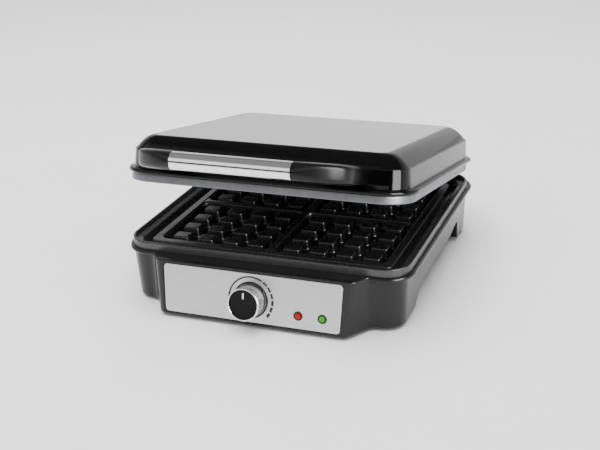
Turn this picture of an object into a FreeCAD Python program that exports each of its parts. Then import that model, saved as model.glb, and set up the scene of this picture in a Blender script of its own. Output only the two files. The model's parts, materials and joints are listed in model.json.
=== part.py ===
import FreeCAD, Part
import math
import os

# Four-slice waffle maker: a two-plate table appliance with a hinged lid, a
# leaning control panel with a thermostat knob and two lamps, and a tube handle.
# Working frame while building: X to the right, Y to the back, Z up, x = 0 on the
# symmetry plane, y = 0 on the front outer face of the plate rims, z = 0 on the
# top of the lower rim. Everything is moved to the row frame at the end.
V = FreeCAD.Vector

# ---------------------------------------------------------------- dimensions
W = 290.0             # plate width
D = 264.0             # plate depth
R_PLATE = 25.0        # corner radius of the lower plate
R_UP = 31.0           # corner radius of the upper plate
RIM_T = 2.5           # plate rim wall thickness
RIM_H = 7.7           # visible rim height
SHELL = 2.6           # moulded wall thickness
GROUND = -64.0        # underside of the feet
BASE_BEAD = 3.5       # the base's bead stands this far outside the rim
LID_BEAD = 3.0        # the lid's bead
BEAD_H = 5.4          # bead height
REAR = 275.0          # rear of both beads
SIDE_TOP = 2.0        # side wall inset from the rim at the top
SIDE_BOT = 5.0        # side wall inset from the rim at the bottom
Z_BASE_TOP = -RIM_H
Z_BASE_BOT = -61.1
REAR_R = 28.0         # rear corner radius before the side inset
COL_R = 20.0          # radius of the front corner columns
COL_Y = 0.0           # front face of the columns
BOX_HALF_TOP = 96.0   # control box: half width where its corner starts
BOX_HALF_BOT = 90.5
COL_IN_TOP = 118.5    # where the ogee runs out on the column
COL_IN_BOT = 119.5
OGEE_R1 = 8.0         # ogee: convex radius at the box
OGEE_R2 = 12.0        # ogee: concave radius at the column
BOX_Y = -18.69        # panel plane: y at z = BOX_Z
BOX_Z = -10.93
BOX_LEAN = 0.19638    # dy/dz of the panel plane
FASCIA_TOP = 91.95    # half widths and half height of the steel fascia
FASCIA_BOT = 89.65
FASCIA_HALF_H = 23.6
FASCIA_T = 1.2
FASCIA_R = 3.5
FASCIA_RECESS = 1.5
FASCIA_GAP = 0.9
KNOB_U, KNOB_V = 0.0, -1.8
KNOB_R = 15.4
KNOB_L = 18.4
SHAFT_R = 3.0
SHAFT_GAP = 0.05
LAMP_R = 3.9
LAMP_U = (48.4, 72.4)
LAMP_V = -11.2
RIDGE_IN = 19.2       # seal ridge: inset of its crest line
RIDGE_Z = -5.9
WELL_IN = 27.5        # wells start this far inside the rim
SKIRT_Z = -3.6        # lower edge of the upper plate's inner wall
WELL_FLOOR = -17.0
WELL_GAP = 6.0        # separator between wells
PEG_TOP = -7.0
PEG_N = 4             # pegs per well each way
PEG_DRAFT = 2.0
UP_GAP = 0.5          # gap between the closed rims
UP_H = 7.5            # upper rim height
UP_CEIL = 10.5
LID_RIDGE_Z = 32.0
LID_TOP_Z = 45.0
PANEL_X = 119.4
PANEL_Y0, PANEL_Y1 = 17.5, 252.5
PANEL_R = 10.0
PANEL_T = 0.8
HINGE_Y, HINGE_Z = 300.0, -2.0
HINGE_R = 9.0
PIN_R = 3.0
LID_OPEN = 11.7       # opening of the lid at rest, degrees
TUBE_R = 8.75
TUBE_Y, TUBE_Z = -57.0, 33.8
TUBE_HALF = 58.5      # visible half length
TUBE_IN = 8.0         # length inside each bracket
TUBE_T = 0.9
ELEM_R = 3.25

OUT = {}


# ------------------------------------------------------------------- helpers
def rr_wire(x0, x1, y0, y1, r, z):
    """Rounded rectangle, always the same start and direction."""
    s = r * (1 - math.sqrt(0.5))
    p = [V(x0 + r, y0, z), V(x1 - r, y0, z), V(x1, y0 + r, z), V(x1, y1 - r, z),
         V(x1 - r, y1, z), V(x0 + r, y1, z), V(x0, y1 - r, z), V(x0, y0 + r, z)]
    m = [V(x1 - s, y0 + s, z), V(x1 - s, y1 - s, z), V(x0 + s, y1 - s, z), V(x0 + s, y0 + s, z)]
    e = []
    for i in range(4):
        e.append(Part.makeLine(p[2 * i], p[2 * i + 1]))
        e.append(Part.Arc(p[2 * i + 1], m[i], p[(2 * i + 2) % 8]).toShape())
    return Part.Wire(e)


def rr_prism(x0, x1, y0, y1, r, z0, z1):
    return Part.Face(rr_wire(x0, x1, y0, y1, r, z0)).extrude(V(0, 0, z1 - z0))


def loft(wires, ruled=True):
    return Part.makeLoft(wires, True, ruled)


def plate_wire(inset, z, r=None, corner=R_PLATE):
    return rr_wire(-W / 2 + inset, W / 2 - inset, inset, D - inset,
                   max(corner - inset, 3.0) if r is None else r, z)


def plate_prism(inset, z0, z1, r=None, corner=R_PLATE):
    return Part.Face(plate_wire(inset, z0, r, corner)).extrude(V(0, 0, z1 - z0))


def box(x0, x1, y0, y1, z0, z1):
    return Part.makeBox(x1 - x0, y1 - y0, z1 - z0, V(x0, y0, z0))


def cyl(r, p, d, h):
    return Part.makeCylinder(r, h, p, d)


def fuse(a, *others):
    s = a
    for o in others:
        s = s.fuse(o)
    return s.removeSplitter()


def try_fillet(shape, r, pick):
    edges = [e for e in shape.Edges if pick(e)]
    if not edges:
        return shape
    try:
        s = shape.makeFillet(r, edges)
        if s.isValid() and s.Volume > 0:
            return s
    except Exception:
        pass
    return shape


def mid(e):
    return e.valueAt((e.FirstParameter + e.LastParameter) / 2)


def yz_prism(pts, x0, x1):
    """Extrude a polygon given as (y, z) along X."""
    w = Part.makePolygon([V(x0, y, z) for y, z in pts] + [V(x0, pts[0][0], pts[0][1])])
    return Part.Face(w).extrude(V(x1 - x0, 0, 0))


def pipe(points, r, bend):
    """Round lead or tube: straight runs joined by tangent arcs."""
    pts = [V(*p) for p in points]
    edges = []
    last = pts[0]
    for i in range(1, len(pts) - 1):
        a = (pts[i - 1] - pts[i])
        b = (pts[i + 1] - pts[i])
        la, lb = a.Length, b.Length
        a.normalize()
        b.normalize()
        ang = math.acos(max(-1, min(1, a.dot(b))))
        if ang > math.pi - 0.01:
            continue
        t = min(bend / math.tan(ang / 2), 0.45 * min(la, lb))
        rad = t * math.tan(ang / 2)
        p1 = pts[i] + a * t
        p2 = pts[i] + b * t
        bis = a + b
        bis.normalize()
        c = pts[i] + bis * (rad / math.sin(ang / 2))
        pm = c - bis * rad
        edges.append(Part.makeLine(last, p1))
        edges.append(Part.Arc(p1, pm, p2).toShape())
        last = p2
    edges.append(Part.makeLine(last, pts[-1]))
    w = Part.Wire(edges)
    d = pts[1] - pts[0]
    prof = Part.Wire([Part.makeCircle(r, pts[0], d)])
    return w.makePipeShell([prof], True, False)


def panel_y(z):
    return BOX_Y + BOX_LEAN * (z - BOX_Z)


# panel frame: local x = X, local y = up the panel, local z = out of the panel
PZ = -34.1
PANEL_ANGLE = 90.0 - math.degrees(math.atan(BOX_LEAN))
PANEL_PL = FreeCAD.Placement(V(0, panel_y(PZ), PZ), FreeCAD.Rotation(V(1, 0, 0), PANEL_ANGLE))


def on_panel(shape):
    s = shape.copy()
    s.Placement = PANEL_PL.multiply(s.Placement)
    return s


# ------------------------------------------------------------- base housing
def base_wire(z, inset=0.0, front=0.0):
    """Plan outline of the base: corner columns, ogees and leaning box."""
    k = (z - Z_BASE_TOP) / (Z_BASE_BOT - Z_BASE_TOP)
    side = SIDE_TOP + (SIDE_BOT - SIDE_TOP) * k
    a = BOX_HALF_TOP + (BOX_HALF_BOT - BOX_HALF_TOP) * k
    b = COL_IN_TOP + (COL_IN_BOT - COL_IN_TOP) * k
    xs = W / 2 - side - inset
    y0 = COL_Y + inset
    y1 = REAR - side - inset
    rc = COL_R - inset
    rb = REAR_R - side - inset
    yf = panel_y(z) + inset + front
    r1, r2 = OGEE_R1 - inset, OGEE_R2 + inset
    c1 = (a, panel_y(z) + front + OGEE_R1)
    c2 = (b, COL_Y - OGEE_R2)
    dx, dy = c2[0] - c1[0], c2[1] - c1[1]
    th = math.atan2(dy, dx) + math.asin((r1 + r2) / math.hypot(dx, dy))
    nx, ny = math.sin(th), -math.cos(th)
    s = math.sqrt(0.5)

    def half(sg):
        m1, m2 = th / 2, th / 2
        q = [(c1[0], yf), (c1[0] + r1 * math.sin(m1), c1[1] - r1 * math.cos(m1)), (c1[0] + r1 * nx, c1[1] + r1 * ny),
             (c2[0] - r2 * nx, c2[1] - r2 * ny), (c2[0] - r2 * math.sin(m2), c2[1] + r2 * math.cos(m2)), (c2[0], y0),
             (xs - rc, y0), (xs - rc * (1 - s), y0 + rc * (1 - s)), (xs, y0 + rc),
             (xs, y1 - rb), (xs - rb * (1 - s), y1 - rb * (1 - s)), (xs - rb, y1)]
        return [V(sg * x, y, z) for x, y in q]
    a, b = half(1), half(-1)

    def arc(p, i, j, k):
        return Part.Arc(p[i], p[j], p[k]).toShape()

    def line(p, i, j):
        return Part.makeLine(p[i], p[j])
    e = [Part.makeLine(b[0], a[0]), arc(a, 0, 1, 2), line(a, 2, 3), arc(a, 3, 4, 5), line(a, 5, 6), arc(a, 6, 7, 8),
         line(a, 8, 9), arc(a, 9, 10, 11), Part.makeLine(a[11], b[11]), arc(b, 11, 10, 9), line(b, 9, 8),
         arc(b, 8, 7, 6), line(b, 6, 5), arc(b, 5, 4, 3), line(b, 3, 2), arc(b, 2, 1, 0)]
    return Part.Wire(e)


def base_loft(inset, front, z0, z1):
    return loft([base_wire(z0, inset, front), base_wire(z1, inset, front)])


outer = base_loft(0.0, 0.0, Z_BASE_BOT, Z_BASE_TOP)
outer = try_fillet(outer, 2.2, lambda e: e.BoundBox.ZMax < Z_BASE_BOT + 0.01)
outer = try_fillet(outer, 1.1, lambda e: e.BoundBox.ZMin > Z_BASE_TOP - 0.01 and mid(e).y < -8.0)
bead = rr_prism(-W / 2 - BASE_BEAD, W / 2 + BASE_BEAD, -BASE_BEAD, REAR, R_PLATE + BASE_BEAD,
                Z_BASE_TOP - BEAD_H, Z_BASE_TOP)
bead = try_fillet(bead, BEAD_H / 2 - 0.02, lambda e: abs(e.BoundBox.ZLength) < 1e-6)

inner = base_loft(SHELL, 1.2, Z_BASE_BOT - 5, Z_BASE_TOP - 2.9)
mouth = plate_prism(6.0, -20.0, 1.0)

# the side walls are cut up between the columns and the rear legs
sp = Part.BSplineCurve()
sp.interpolate([V(-160, 50.0, -61.5), V(-160, 52.3, -56.8), V(-160, 57.3, -51.3), V(-160, 64.0, -46.2),
                V(-160, 72.5, -43.0), V(-160, 82.0, -42.5)])
line = [V(-160, 82.0, -42.5), V(-160, 186.0, -42.5), V(-160, 199.0, -39.2), V(-160, 210.0, -36.8),
        V(-160, 214.0, -37.3), V(-160, 216.0, -40.0), V(-160, 219.5, -58.5), V(-160, 300.0, -58.5),
        V(-160, 300.0, -75.0), V(-160, 50.0, -75.0), V(-160, 50.0, -61.5)]
prof = Part.Wire([sp.toShape()] + [Part.makeLine(line[i], line[i + 1]) for i in range(len(line) - 1)])
side_cut = Part.Face(prof).extrude(V(320, 0, 0))

legs = None
for sg in (-1, 1):
    xa, xb = (100.0, 150.0) if sg > 0 else (-150.0, -100.0)
    blk = box(xa, xb, 219.5, REAR, -58.5, -41.9)
    xi = (102.6, 160.0) if sg > 0 else (-160.0, -102.6)
    hollow = box(xi[0], xi[1], 222.1, REAR + 5, -56.1, -40.0)
    leg = blk.cut(hollow).common(outer)
    legs = leg if legs is None else legs.fuse(leg)

base_housing = outer.fuse(bead).cut(inner).cut(mouth)
base_housing = base_housing.cut(side_cut)
base_housing = base_housing.cut(box(-92, 92, REAR - 20, REAR + 5, -75, -46.0))
base_housing = base_housing.fuse(legs)
# panel recess and through holes
def fascia_wire(grow, w):
    a, b, h = FASCIA_TOP + grow, FASCIA_BOT + grow, FASCIA_HALF_H + grow
    pts = [V(-b, -h, w), V(b, -h, w), V(a, h, w), V(-a, h, w)]
    f = Part.Face(Part.makePolygon(pts + [pts[0]])).extrude(V(0, 0, 10))
    return f


def fascia_solid(grow, w0, w1, r):
    f = fascia_wire(grow, w0)
    f = f.makeFillet(r, [e for e in f.Edges if abs(e.BoundBox.ZLength - 10) < 1e-3])
    cut = box(-300, 300, -100, 100, w1, w1 + 50)
    return f.cut(cut)


recess = on_panel(fascia_solid(FASCIA_GAP, -FASCIA_RECESS, 5.0, FASCIA_R + 0.8))
holes = Part.makeCylinder(5.4, 40, V(KNOB_U, KNOB_V, -20))
lamp_holes = [Part.makeCylinder(LAMP_R + 0.9, 40, V(u, LAMP_V, -20)) for u in LAMP_U]
base_housing = base_housing.cut(recess).cut(on_panel(holes))
for h in lamp_holes:
    base_housing = base_housing.cut(on_panel(h))
# cord gland hole in the rear wall, hinge bolts
GLAND_X, GLAND_Z = -62.0, -30.0
base_housing = base_housing.cut(cyl(6.5, V(GLAND_X, REAR - 20, GLAND_Z), V(0, 1, 0), 30))
base_housing = base_housing.removeSplitter()

# ------------------------------------------------------------ bottom cover
cover_top = [(-40.0, -55.5), (50.0, -55.5), (76.0, -39.6), (290.0, -39.6)]
cover_bot = [(290.0, -41.8), (75.2, -41.8), (49.2, -57.7), (-40.0, -57.7)]
cover = yz_prism(cover_top + cover_bot, -160, 160)
cover = cover.common(base_loft(SHELL + 0.3, 1.5, Z_BASE_BOT, Z_BASE_TOP - 10))
cover = cover.cut(box(-200, 200, 215.0, 400, -80, -41.8))
SCREW_XY = [(-118, 90), (118, 90), (-118, 205), (118, 205), (-70, 20), (70, 20)]
for i in range(9):
    x = -80 + 20 * i
    cover = cover.cut(rr_prism(x - 1.8, x + 1.8, 110, 150, 1.7, -60, -30))
    cover = cover.cut(rr_prism(x - 1.8, x + 1.8, 170, 210, 1.7, -60, -30))
for x, y in SCREW_XY:
    cover = cover.cut(cyl(2.1, V(x, y, -70), V(0, 0, 1), 40))
screws = []
for x, y in SCREW_XY:
    zb = -57.7 if y < 48 else -41.8
    hd = cyl(4.0, V(x, y, zb - 2.2), V(0, 0, 1), 2.2)
    hd = try_fillet(hd, 0.9, lambda e, z=zb - 2.2: abs(e.BoundBox.ZMax - z) < 0.01)
    drive = box(x - 2.4, x + 2.4, y - 0.5, y + 0.5, zb - 3, zb - 1.2).fuse(
        box(x - 0.5, x + 0.5, y - 2.4, y + 2.4, zb - 3, zb - 1.2))
    screws.append(hd.cut(drive).fuse(cyl(1.95, V(x, y, zb), V(0, 0, 1), 9.0)))
# screw posts stand on the cover and hold it to the housing
posts = []
for (x, y) in SCREW_XY:
    zb = -55.5 if y < 48 else -39.6
    zt = -38.0 if y < 48 else -33.5
    p = cyl(4.2, V(x, y, zb), V(0, 0, 1), zt - zb).cut(cyl(2.0, V(x, y, zb - 1), V(0, 0, 1), 9.5))
    posts.append(p)

# ------------------------------------------------------------------- feet
def foot(x, y, z1, r):
    f = cyl(r, V(x, y, GROUND), V(0, 0, 1), z1 - GROUND)
    return try_fillet(f, 1.2, lambda e: abs(e.BoundBox.ZMax - GROUND) < 0.01)


front_feet = [foot(s * 108, 32, -57.7, 9.0) for s in (-1, 1)]
rear_feet = [foot(s * 130.0, 243.5, -58.5, 9.0) for s in (-1, 1)]

# ------------------------------------------------------------- lower plate
body = plate_prism(0, -RIM_H, 0)
body = try_fillet(body, 0.9, lambda e: abs(e.BoundBox.ZMin) < 1e-6 and abs(e.BoundBox.ZMax) < 1e-6)
body = body.fuse(plate_prism(7.0, -16.6, -RIM_H)).fuse(plate_prism(21.0, WELL_FLOOR - 3.0, -RIM_H, 8.0))
gutter = loft([plate_wire(RIM_T, 0.2), plate_wire(RIM_T + 0.9, -3.8)]).fuse(
    loft([plate_wire(RIM_T + 0.9, -3.8), plate_wire(9.6, -5.6)])).fuse(
    loft([plate_wire(9.6, -5.6), plate_wire(12.6, -13.4)]))
ridge = loft([plate_wire(RIDGE_IN - 2.6, -13.6, 9.5), plate_wire(RIDGE_IN - 0.6, RIDGE_Z, 7.5)])
ridge = try_fillet(ridge, 1.1, lambda e: abs(e.BoundBox.ZMin - RIDGE_Z) < 1e-4 and abs(e.BoundBox.ZMax - RIDGE_Z) < 1e-4)
body = body.cut(gutter.cut(ridge))

WX = (W - 2 * WELL_IN - WELL_GAP) / 2
WY = (D - 2 * WELL_IN - WELL_GAP) / 2
WELLS = []
for ix in (0, 1):
    for iy in (0, 1):
        x0 = -W / 2 + WELL_IN + ix * (WX + WELL_GAP)
        y0 = WELL_IN + iy * (WY + WELL_GAP)
        WELLS.append((x0, x0 + WX, y0, y0 + WY))


def pegs_of(well, z_base, z_top, pitch_x, pitch_y):
    x0, x1, y0, y1 = well
    cx, cy = (x0 + x1) / 2, (y0 + y1) / 2
    s = []
    hx, hy = pitch_x / 2 - 3.6, pitch_y / 2 - 3.6
    for i in range(PEG_N):
        for j in range(PEG_N):
            px = cx + (i - (PEG_N - 1) / 2) * pitch_x
            py = cy + (j - (PEG_N - 1) / 2) * pitch_y
            s.append(loft([rr_wire(px - hx, px + hx, py - hy, py + hy, 2.5, z_base),
                           rr_wire(px - hx + PEG_DRAFT, px + hx - PEG_DRAFT, py - hy + PEG_DRAFT,
                                   py + hy - PEG_DRAFT, 1.6, z_top)]))
    return s


PX = (WX - 5.0) / PEG_N
PY = (WY - 5.0) / PEG_N
BOSS = [(-62, 66), (62, 66), (-62, 198), (62, 198)]
LB0 = WELL_FLOOR - 3.0 - 9.0
body = body.multiFuse([cyl(5.0, V(x, y, LB0), V(0, 0, 1), 9.5) for x, y in BOSS])
cavities = [cyl(2.0, V(x, y, LB0 - 1), V(0, 0, 1), 9.0) for x, y in BOSS]
for w in WELLS:
    x0, x1, y0, y1 = w
    c = loft([rr_wire(x0 + 2, x1 - 2, y0 + 2, y1 - 2, 5.0, WELL_FLOOR),
              rr_wire(x0, x1, y0, y1, 6.0, RIDGE_Z + 0.6)])
    cavities.append(c.cut(Part.makeCompound(pegs_of(w, WELL_FLOOR - 0.5, PEG_TOP, PX, PY))))
# the separators end a little below the seal ridge
body = body.cut(rr_prism(-W / 2 + WELL_IN, W / 2 - WELL_IN, WELL_IN, D - WELL_IN, 6.0, RIDGE_Z - 0.5, 1.0))
lower_plate = body.cut(Part.makeCompound(cavities)).removeSplitter()

# ------------------------------------------------------------- upper plate
U0 = UP_GAP
U1 = UP_GAP + UP_H
up = plate_prism(0, U0, U1, None, R_UP)
up = try_fillet(up, 0.9, lambda e: abs(e.BoundBox.ZMin - U0) < 1e-6 and abs(e.BoundBox.ZMax - U0) < 1e-6)
up = up.fuse(plate_prism(12.0, U1, UP_CEIL + 3.0, None, R_UP))
up = up.cut(loft([plate_wire(RIM_T, U0 - 0.2, None, R_UP), plate_wire(RIM_T + 1.0, U0 + 4.0, None, R_UP)]))
skirt = loft([plate_wire(RIDGE_IN + 1.6, SKIRT_Z, 7.0), plate_wire(RIDGE_IN - 1.6, U0 + 5.0, 10.0)])
up = up.fuse(skirt)
UB1 = UP_CEIL + 3.0 + 9.0
up = up.multiFuse([cyl(5.0, V(x, y, UB1 - 9.5), V(0, 0, 1), 9.5) for x, y in BOSS])
cavities = [cyl(2.0, V(x, y, UB1 - 8.0), V(0, 0, 1), 9.0) for x, y in BOSS]
for w in WELLS:
    x0, x1, y0, y1 = w
    c = loft([rr_wire(x0 - 0.4, x1 + 0.4, y0 - 0.4, y1 + 0.4, 6.0, SKIRT_Z - 0.6),
              rr_wire(x0 + 1.6, x1 - 1.6, y0 + 1.6, y1 - 1.6, 5.0, UP_CEIL)])
    cavities.append(c.cut(Part.makeCompound(pegs_of(w, UP_CEIL + 0.5, UP_GAP, PX, PY))))
upper_plate = up.cut(Part.makeCompound(cavities)).removeSplitter()


# --------------------------------------------- elements, reflectors, screws
def element(z):
    pts = [(-34, 26, z), (-34, 44, z), (-99, 44, z), (-99, 226, z), (-24, 226, z), (-24, 110, z), (24, 110, z),
           (24, 226, z), (99, 226, z), (99, 44, z), (34, 44, z), (34, 26, z)]
    return pipe(pts, ELEM_R, 12.0)


def element_pins(z):
    return [cyl(1.5, V(s * 34, 12.0, z), V(0, 1, 0), 14.0) for s in (-1, 1)]


ZL = WELL_FLOOR - 3.0 - ELEM_R
ZU = UP_CEIL + 3.0 + ELEM_R
lower_element = element(ZL)
upper_element = element(ZU)
lower_pins = element_pins(ZL)
upper_pins = element_pins(ZU)


def reflector(z0, z1, lip, sign):
    base = rr_prism(-125, 125, 20, D - 20, 10, z0, z1)
    a = rr_prism(-125, 125, 20, D - 20, 10, z0, z1)
    zl = z1 + lip if sign > 0 else z0 - lip
    ring = rr_prism(-125, 125, 20, D - 20, 10, min(z0, zl), max(z1, zl)).cut(
        rr_prism(-124.2, 124.2, 20.8, D - 20.8, 9.2, min(z0, zl) - 1, max(z1, zl) + 1))
    s = a.fuse(ring)
    for x, y in BOSS:
        s = s.cut(cyl(2.2, V(x, y, z0 - 5), V(0, 0, 1), 12))
    for sx in (-1, 1):
        s = s.cut(box(sx * 34 - 5, sx * 34 + 5, 10, 30, min(z0, zl) - 0.1, max(z1, zl) + 0.1).cut(
            box(-200, 200, 21.0, 40, z0 - 0.2, z1 + 0.2)))
    return s.removeSplitter()


lower_reflector = reflector(LB0 - 0.8, LB0, 5.0, 1)
upper_reflector = reflector(UB1, UB1 + 0.8, 5.0, -1)
lower_screws, upper_screws = [], []
for x, y in BOSS:
    hd = cyl(3.8, V(x, y, LB0 - 3.2), V(0, 0, 1), 2.4)
    lower_screws.append(hd.fuse(cyl(1.95, V(x, y, LB0 - 0.8), V(0, 0, 1), 8.0)))
    hd = cyl(3.8, V(x, y, UB1 + 0.8), V(0, 0, 1), 2.4)
    upper_screws.append(hd.fuse(cyl(1.95, V(x, y, UB1 - 7.2), V(0, 0, 1), 8.0)))

# ------------------------------------------------------- panel and controls
fascia = fascia_solid(0.0, -FASCIA_RECESS, -FASCIA_RECESS + FASCIA_T, FASCIA_R)
FACE_W = -FASCIA_RECESS + FASCIA_T
fascia = fascia.cut(Part.makeCylinder(4.6, 20, V(KNOB_U, KNOB_V, -10)))
for u in LAMP_U:
    fascia = fascia.cut(Part.makeCylinder(LAMP_R + 0.75, 20, V(u, LAMP_V, -10)))
fascia_plate = on_panel(fascia)


def ring_sector(r0, r1, a0, a1, w0, w1):
    """Ring sector about the knob axis; angles clockwise from 12 o'clock."""
    def P(r, a):
        t = math.radians(90 - a)
        return V(KNOB_U + r * math.cos(t), KNOB_V + r * math.sin(t), w0)
    am = (a0 + a1) / 2
    e = [Part.Arc(P(r0, a0), P(r0, am), P(r0, a1)).toShape(), Part.makeLine(P(r0, a1), P(r1, a1)),
         Part.Arc(P(r1, a1), P(r1, am), P(r1, a0)).toShape(), Part.makeLine(P(r1, a0), P(r0, a0))]
    return Part.Face(Part.Wire(e)).extrude(V(0, 0, w1 - w0))


DIAL_R = 21.6
scale = [ring_sector(DIAL_R - 0.45, DIAL_R + 0.45, -88, 30, FACE_W, FACE_W + 0.12)]
for k, (a0, a1) in enumerate(((34, 47), (51, 64), (68, 81), (85, 98), (102, 115), (119, 131))):
    t = 0.55 + 0.1 * k
    scale.append(ring_sector(DIAL_R - t, DIAL_R + t, a0, a1, FACE_W, FACE_W + 0.12))
dial_scale = [on_panel(s) for s in scale]

# lamps: a black collar behind the panel with a coloured domed lens in it
lamp_bodies, lenses = [], []
for u in LAMP_U:
    b = Part.makeCylinder(LAMP_R + 0.6, 4.0, V(u, LAMP_V, -3.8)).fuse(
        Part.makeCylinder(6.8, 2.0, V(u, LAMP_V, -5.8))).fuse(Part.makeCylinder(5.0, 10.0, V(u, LAMP_V, -15.6)))
    b = b.cut(Part.makeCylinder(LAMP_R + 0.02, 12.0, V(u, LAMP_V, -7.0)))
    lamp_bodies.append(on_panel(b.removeSplitter()))
    dome_h = 1.3
    Rd = (LAMP_R ** 2 + dome_h ** 2) / (2 * dome_h)
    sph = Part.makeSphere(Rd, V(u, LAMP_V, -0.1 + dome_h - Rd))
    l = Part.makeCylinder(LAMP_R, 7.0 + 2.0, V(u, LAMP_V, -6.9)).common(
        sph.fuse(Part.makeCylinder(LAMP_R + 1, 7.0, V(u, LAMP_V, -7.0))))
    lenses.append(on_panel(l.removeSplitter()))

# thermostat behind the panel
bracket = box(KNOB_U - 22, KNOB_U + 22, KNOB_V - 15, KNOB_V + 15, -5.4, -3.9).cut(
    Part.makeCylinder(5.2, 10, V(KNOB_U, KNOB_V, -10)))
bracket = bracket.fuse(box(KNOB_U - 22, KNOB_U - 20.5, KNOB_V - 8, KNOB_V + 8, -14, -3.9)).fuse(
    box(KNOB_U + 20.5, KNOB_U + 22, KNOB_V - 8, KNOB_V + 8, -14, -3.9))
thermo = Part.makeCylinder(14.0, 13.0, V(KNOB_U, KNOB_V, -18.4)).fuse(
    Part.makeCylinder(5.0, 2.0, V(KNOB_U, KNOB_V, -5.6)))
thermo = thermo.fuse(box(KNOB_U - 9, KNOB_U - 5, KNOB_V - 2, KNOB_V + 2, -24, -18)).fuse(
    box(KNOB_U + 5, KNOB_U + 9, KNOB_V - 2, KNOB_V + 2, -24, -18))
thermo = thermo.cut(Part.makeCylinder(SHAFT_R + SHAFT_GAP, 30, V(KNOB_U, KNOB_V, -14.0)))
thermostat_bracket = on_panel(bracket.removeSplitter())
thermostat = on_panel(thermo.removeSplitter())

# knob: skirt, chrome ring, dark cap, pointer, spindle
K0 = 0.55
kp = V(KNOB_U, KNOB_V, 0)
knob_body = Part.makeCylinder(KNOB_R, KNOB_L - 2.6 - K0, V(KNOB_U, KNOB_V, K0))
knob_body = try_fillet(knob_body, 0.6, lambda e: abs(e.BoundBox.ZMin - K0) < 0.01 and abs(e.BoundBox.ZMax - K0) < 0.01)
knob_body = knob_body.cut(Part.makeCylinder(SHAFT_R, 13.0, V(KNOB_U, KNOB_V, 0)))
kr0 = KNOB_L - 2.6
knob_ring = Part.makeCylinder(KNOB_R, 2.6, V(KNOB_U, KNOB_V, kr0)).cut(
    Part.makeCylinder(KNOB_R - 1.9, 5, V(KNOB_U, KNOB_V, kr0 - 1)))
knob_ring = try_fillet(knob_ring, 0.85, lambda e: abs(e.BoundBox.ZMin - KNOB_L) < 0.01)
knob_cap = Part.makeCylinder(KNOB_R - 1.9, 2.0, V(KNOB_U, KNOB_V, kr0))
knob_pointer = box(KNOB_U - 0.75, KNOB_U + 0.75, KNOB_V + 5.6, KNOB_V + 11.2, kr0 + 2.0, kr0 + 2.15)
shaft = Part.makeCylinder(SHAFT_R, 13.5 + 12.5, V(KNOB_U, KNOB_V, -13.5))
knob_parts = {"knob_body": [knob_body], "knob_ring": [knob_ring], "knob_cap": [knob_cap],
              "knob_pointer": [knob_pointer], "thermostat_shaft": [shaft]}

# ------------------------------------------------------- electrics in the base
terminal_block = box(-78, -38, -12, 2, -55.5, -43.5)
for i in range(3):
    terminal_block = terminal_block.cut(cyl(2.2, V(-71 + 13 * i, -5, -47.0), V(0, 0, 1), 6))
thermal_fuse = cyl(2.2, V(-10, 92, WELL_FLOOR - 3.0 - 2.2), V(1, 0, 0), 20).fuse(
    cyl(0.6, V(-22, 92, WELL_FLOOR - 3.0 - 2.2), V(1, 0, 0), 44))
gland = cyl(7.7, V(GLAND_X, REAR - 2.6, GLAND_Z), V(0, 1, 0), 3.2).fuse(
    cyl(6.4, V(GLAND_X, REAR - 14.0, GLAND_Z), V(0, 1, 0), 12.0)).fuse(
    cyl(7.7, V(GLAND_X, REAR - 14.0, GLAND_Z), V(0, 1, 0), 7.4))
gland = gland.cut(cyl(3.6, V(GLAND_X, REAR - 20, GLAND_Z), V(0, 1, 0), 40)).removeSplitter()

# leads clipped along the right wall and in the control box
mains_lead = pipe([(GLAND_X, 258.0, GLAND_Z), (GLAND_X, 246.0, -33.5), (-118.5, 230.0, -36.6), (-130.0, 190.0, -36.8),
                   (-130.0, 130.0, -36.8), (-130.0, 70.0, -36.8), (-124.0, 34.0, -38.0), (-96.0, 8.0, -47.0),
                   (-79.0, -5.0, -49.5)], 1.9, 12.0)
heater_lead = pipe([(34.0, 10.5, ZL), (34.0, 5.0, ZL - 3.0), (30.0, 0.0, -32.0), (24.0, -4.0, -42.0),
                    (12.0, -6.0, -50.0), (-14.0, -6.0, -52.0), (-37.5, -5.0, -50.0)], 1.4, 6.0)

# --------------------------------------------------------------------- hinge
HX0, HX1 = 70.0, 104.0     # outer faces of the base lugs
LUG_T = 8.0
ARM_GAP = 0.4


def rear_wall_y(z):
    k = (z - Z_BASE_TOP) / (Z_BASE_BOT - Z_BASE_TOP)
    return REAR - (SIDE_TOP + (SIDE_BOT - SIDE_TOP) * k)


def mirror(shape):
    return shape.mirror(V(0, 0, 0), V(1, 0, 0))


def lug(x0, x1):
    p = [(rear_wall_y(-46.0) + 0.02, -46.0), (rear_wall_y(-14.2) + 0.02, -14.2), (276.4, -14.2), (276.4, -5.0),
         (296.0, 6.05), (HINGE_Y, HINGE_Z), (308.0, -6.1), (290.0, -30.0)]
    s = yz_prism(p, x0, x1).fuse(cyl(HINGE_R, V(x0, HINGE_Y, HINGE_Z), V(1, 0, 0), x1 - x0)).removeSplitter()
    return try_fillet(s, 0.8, lambda e: abs(e.BoundBox.XLength) < 1e-6)


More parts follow.
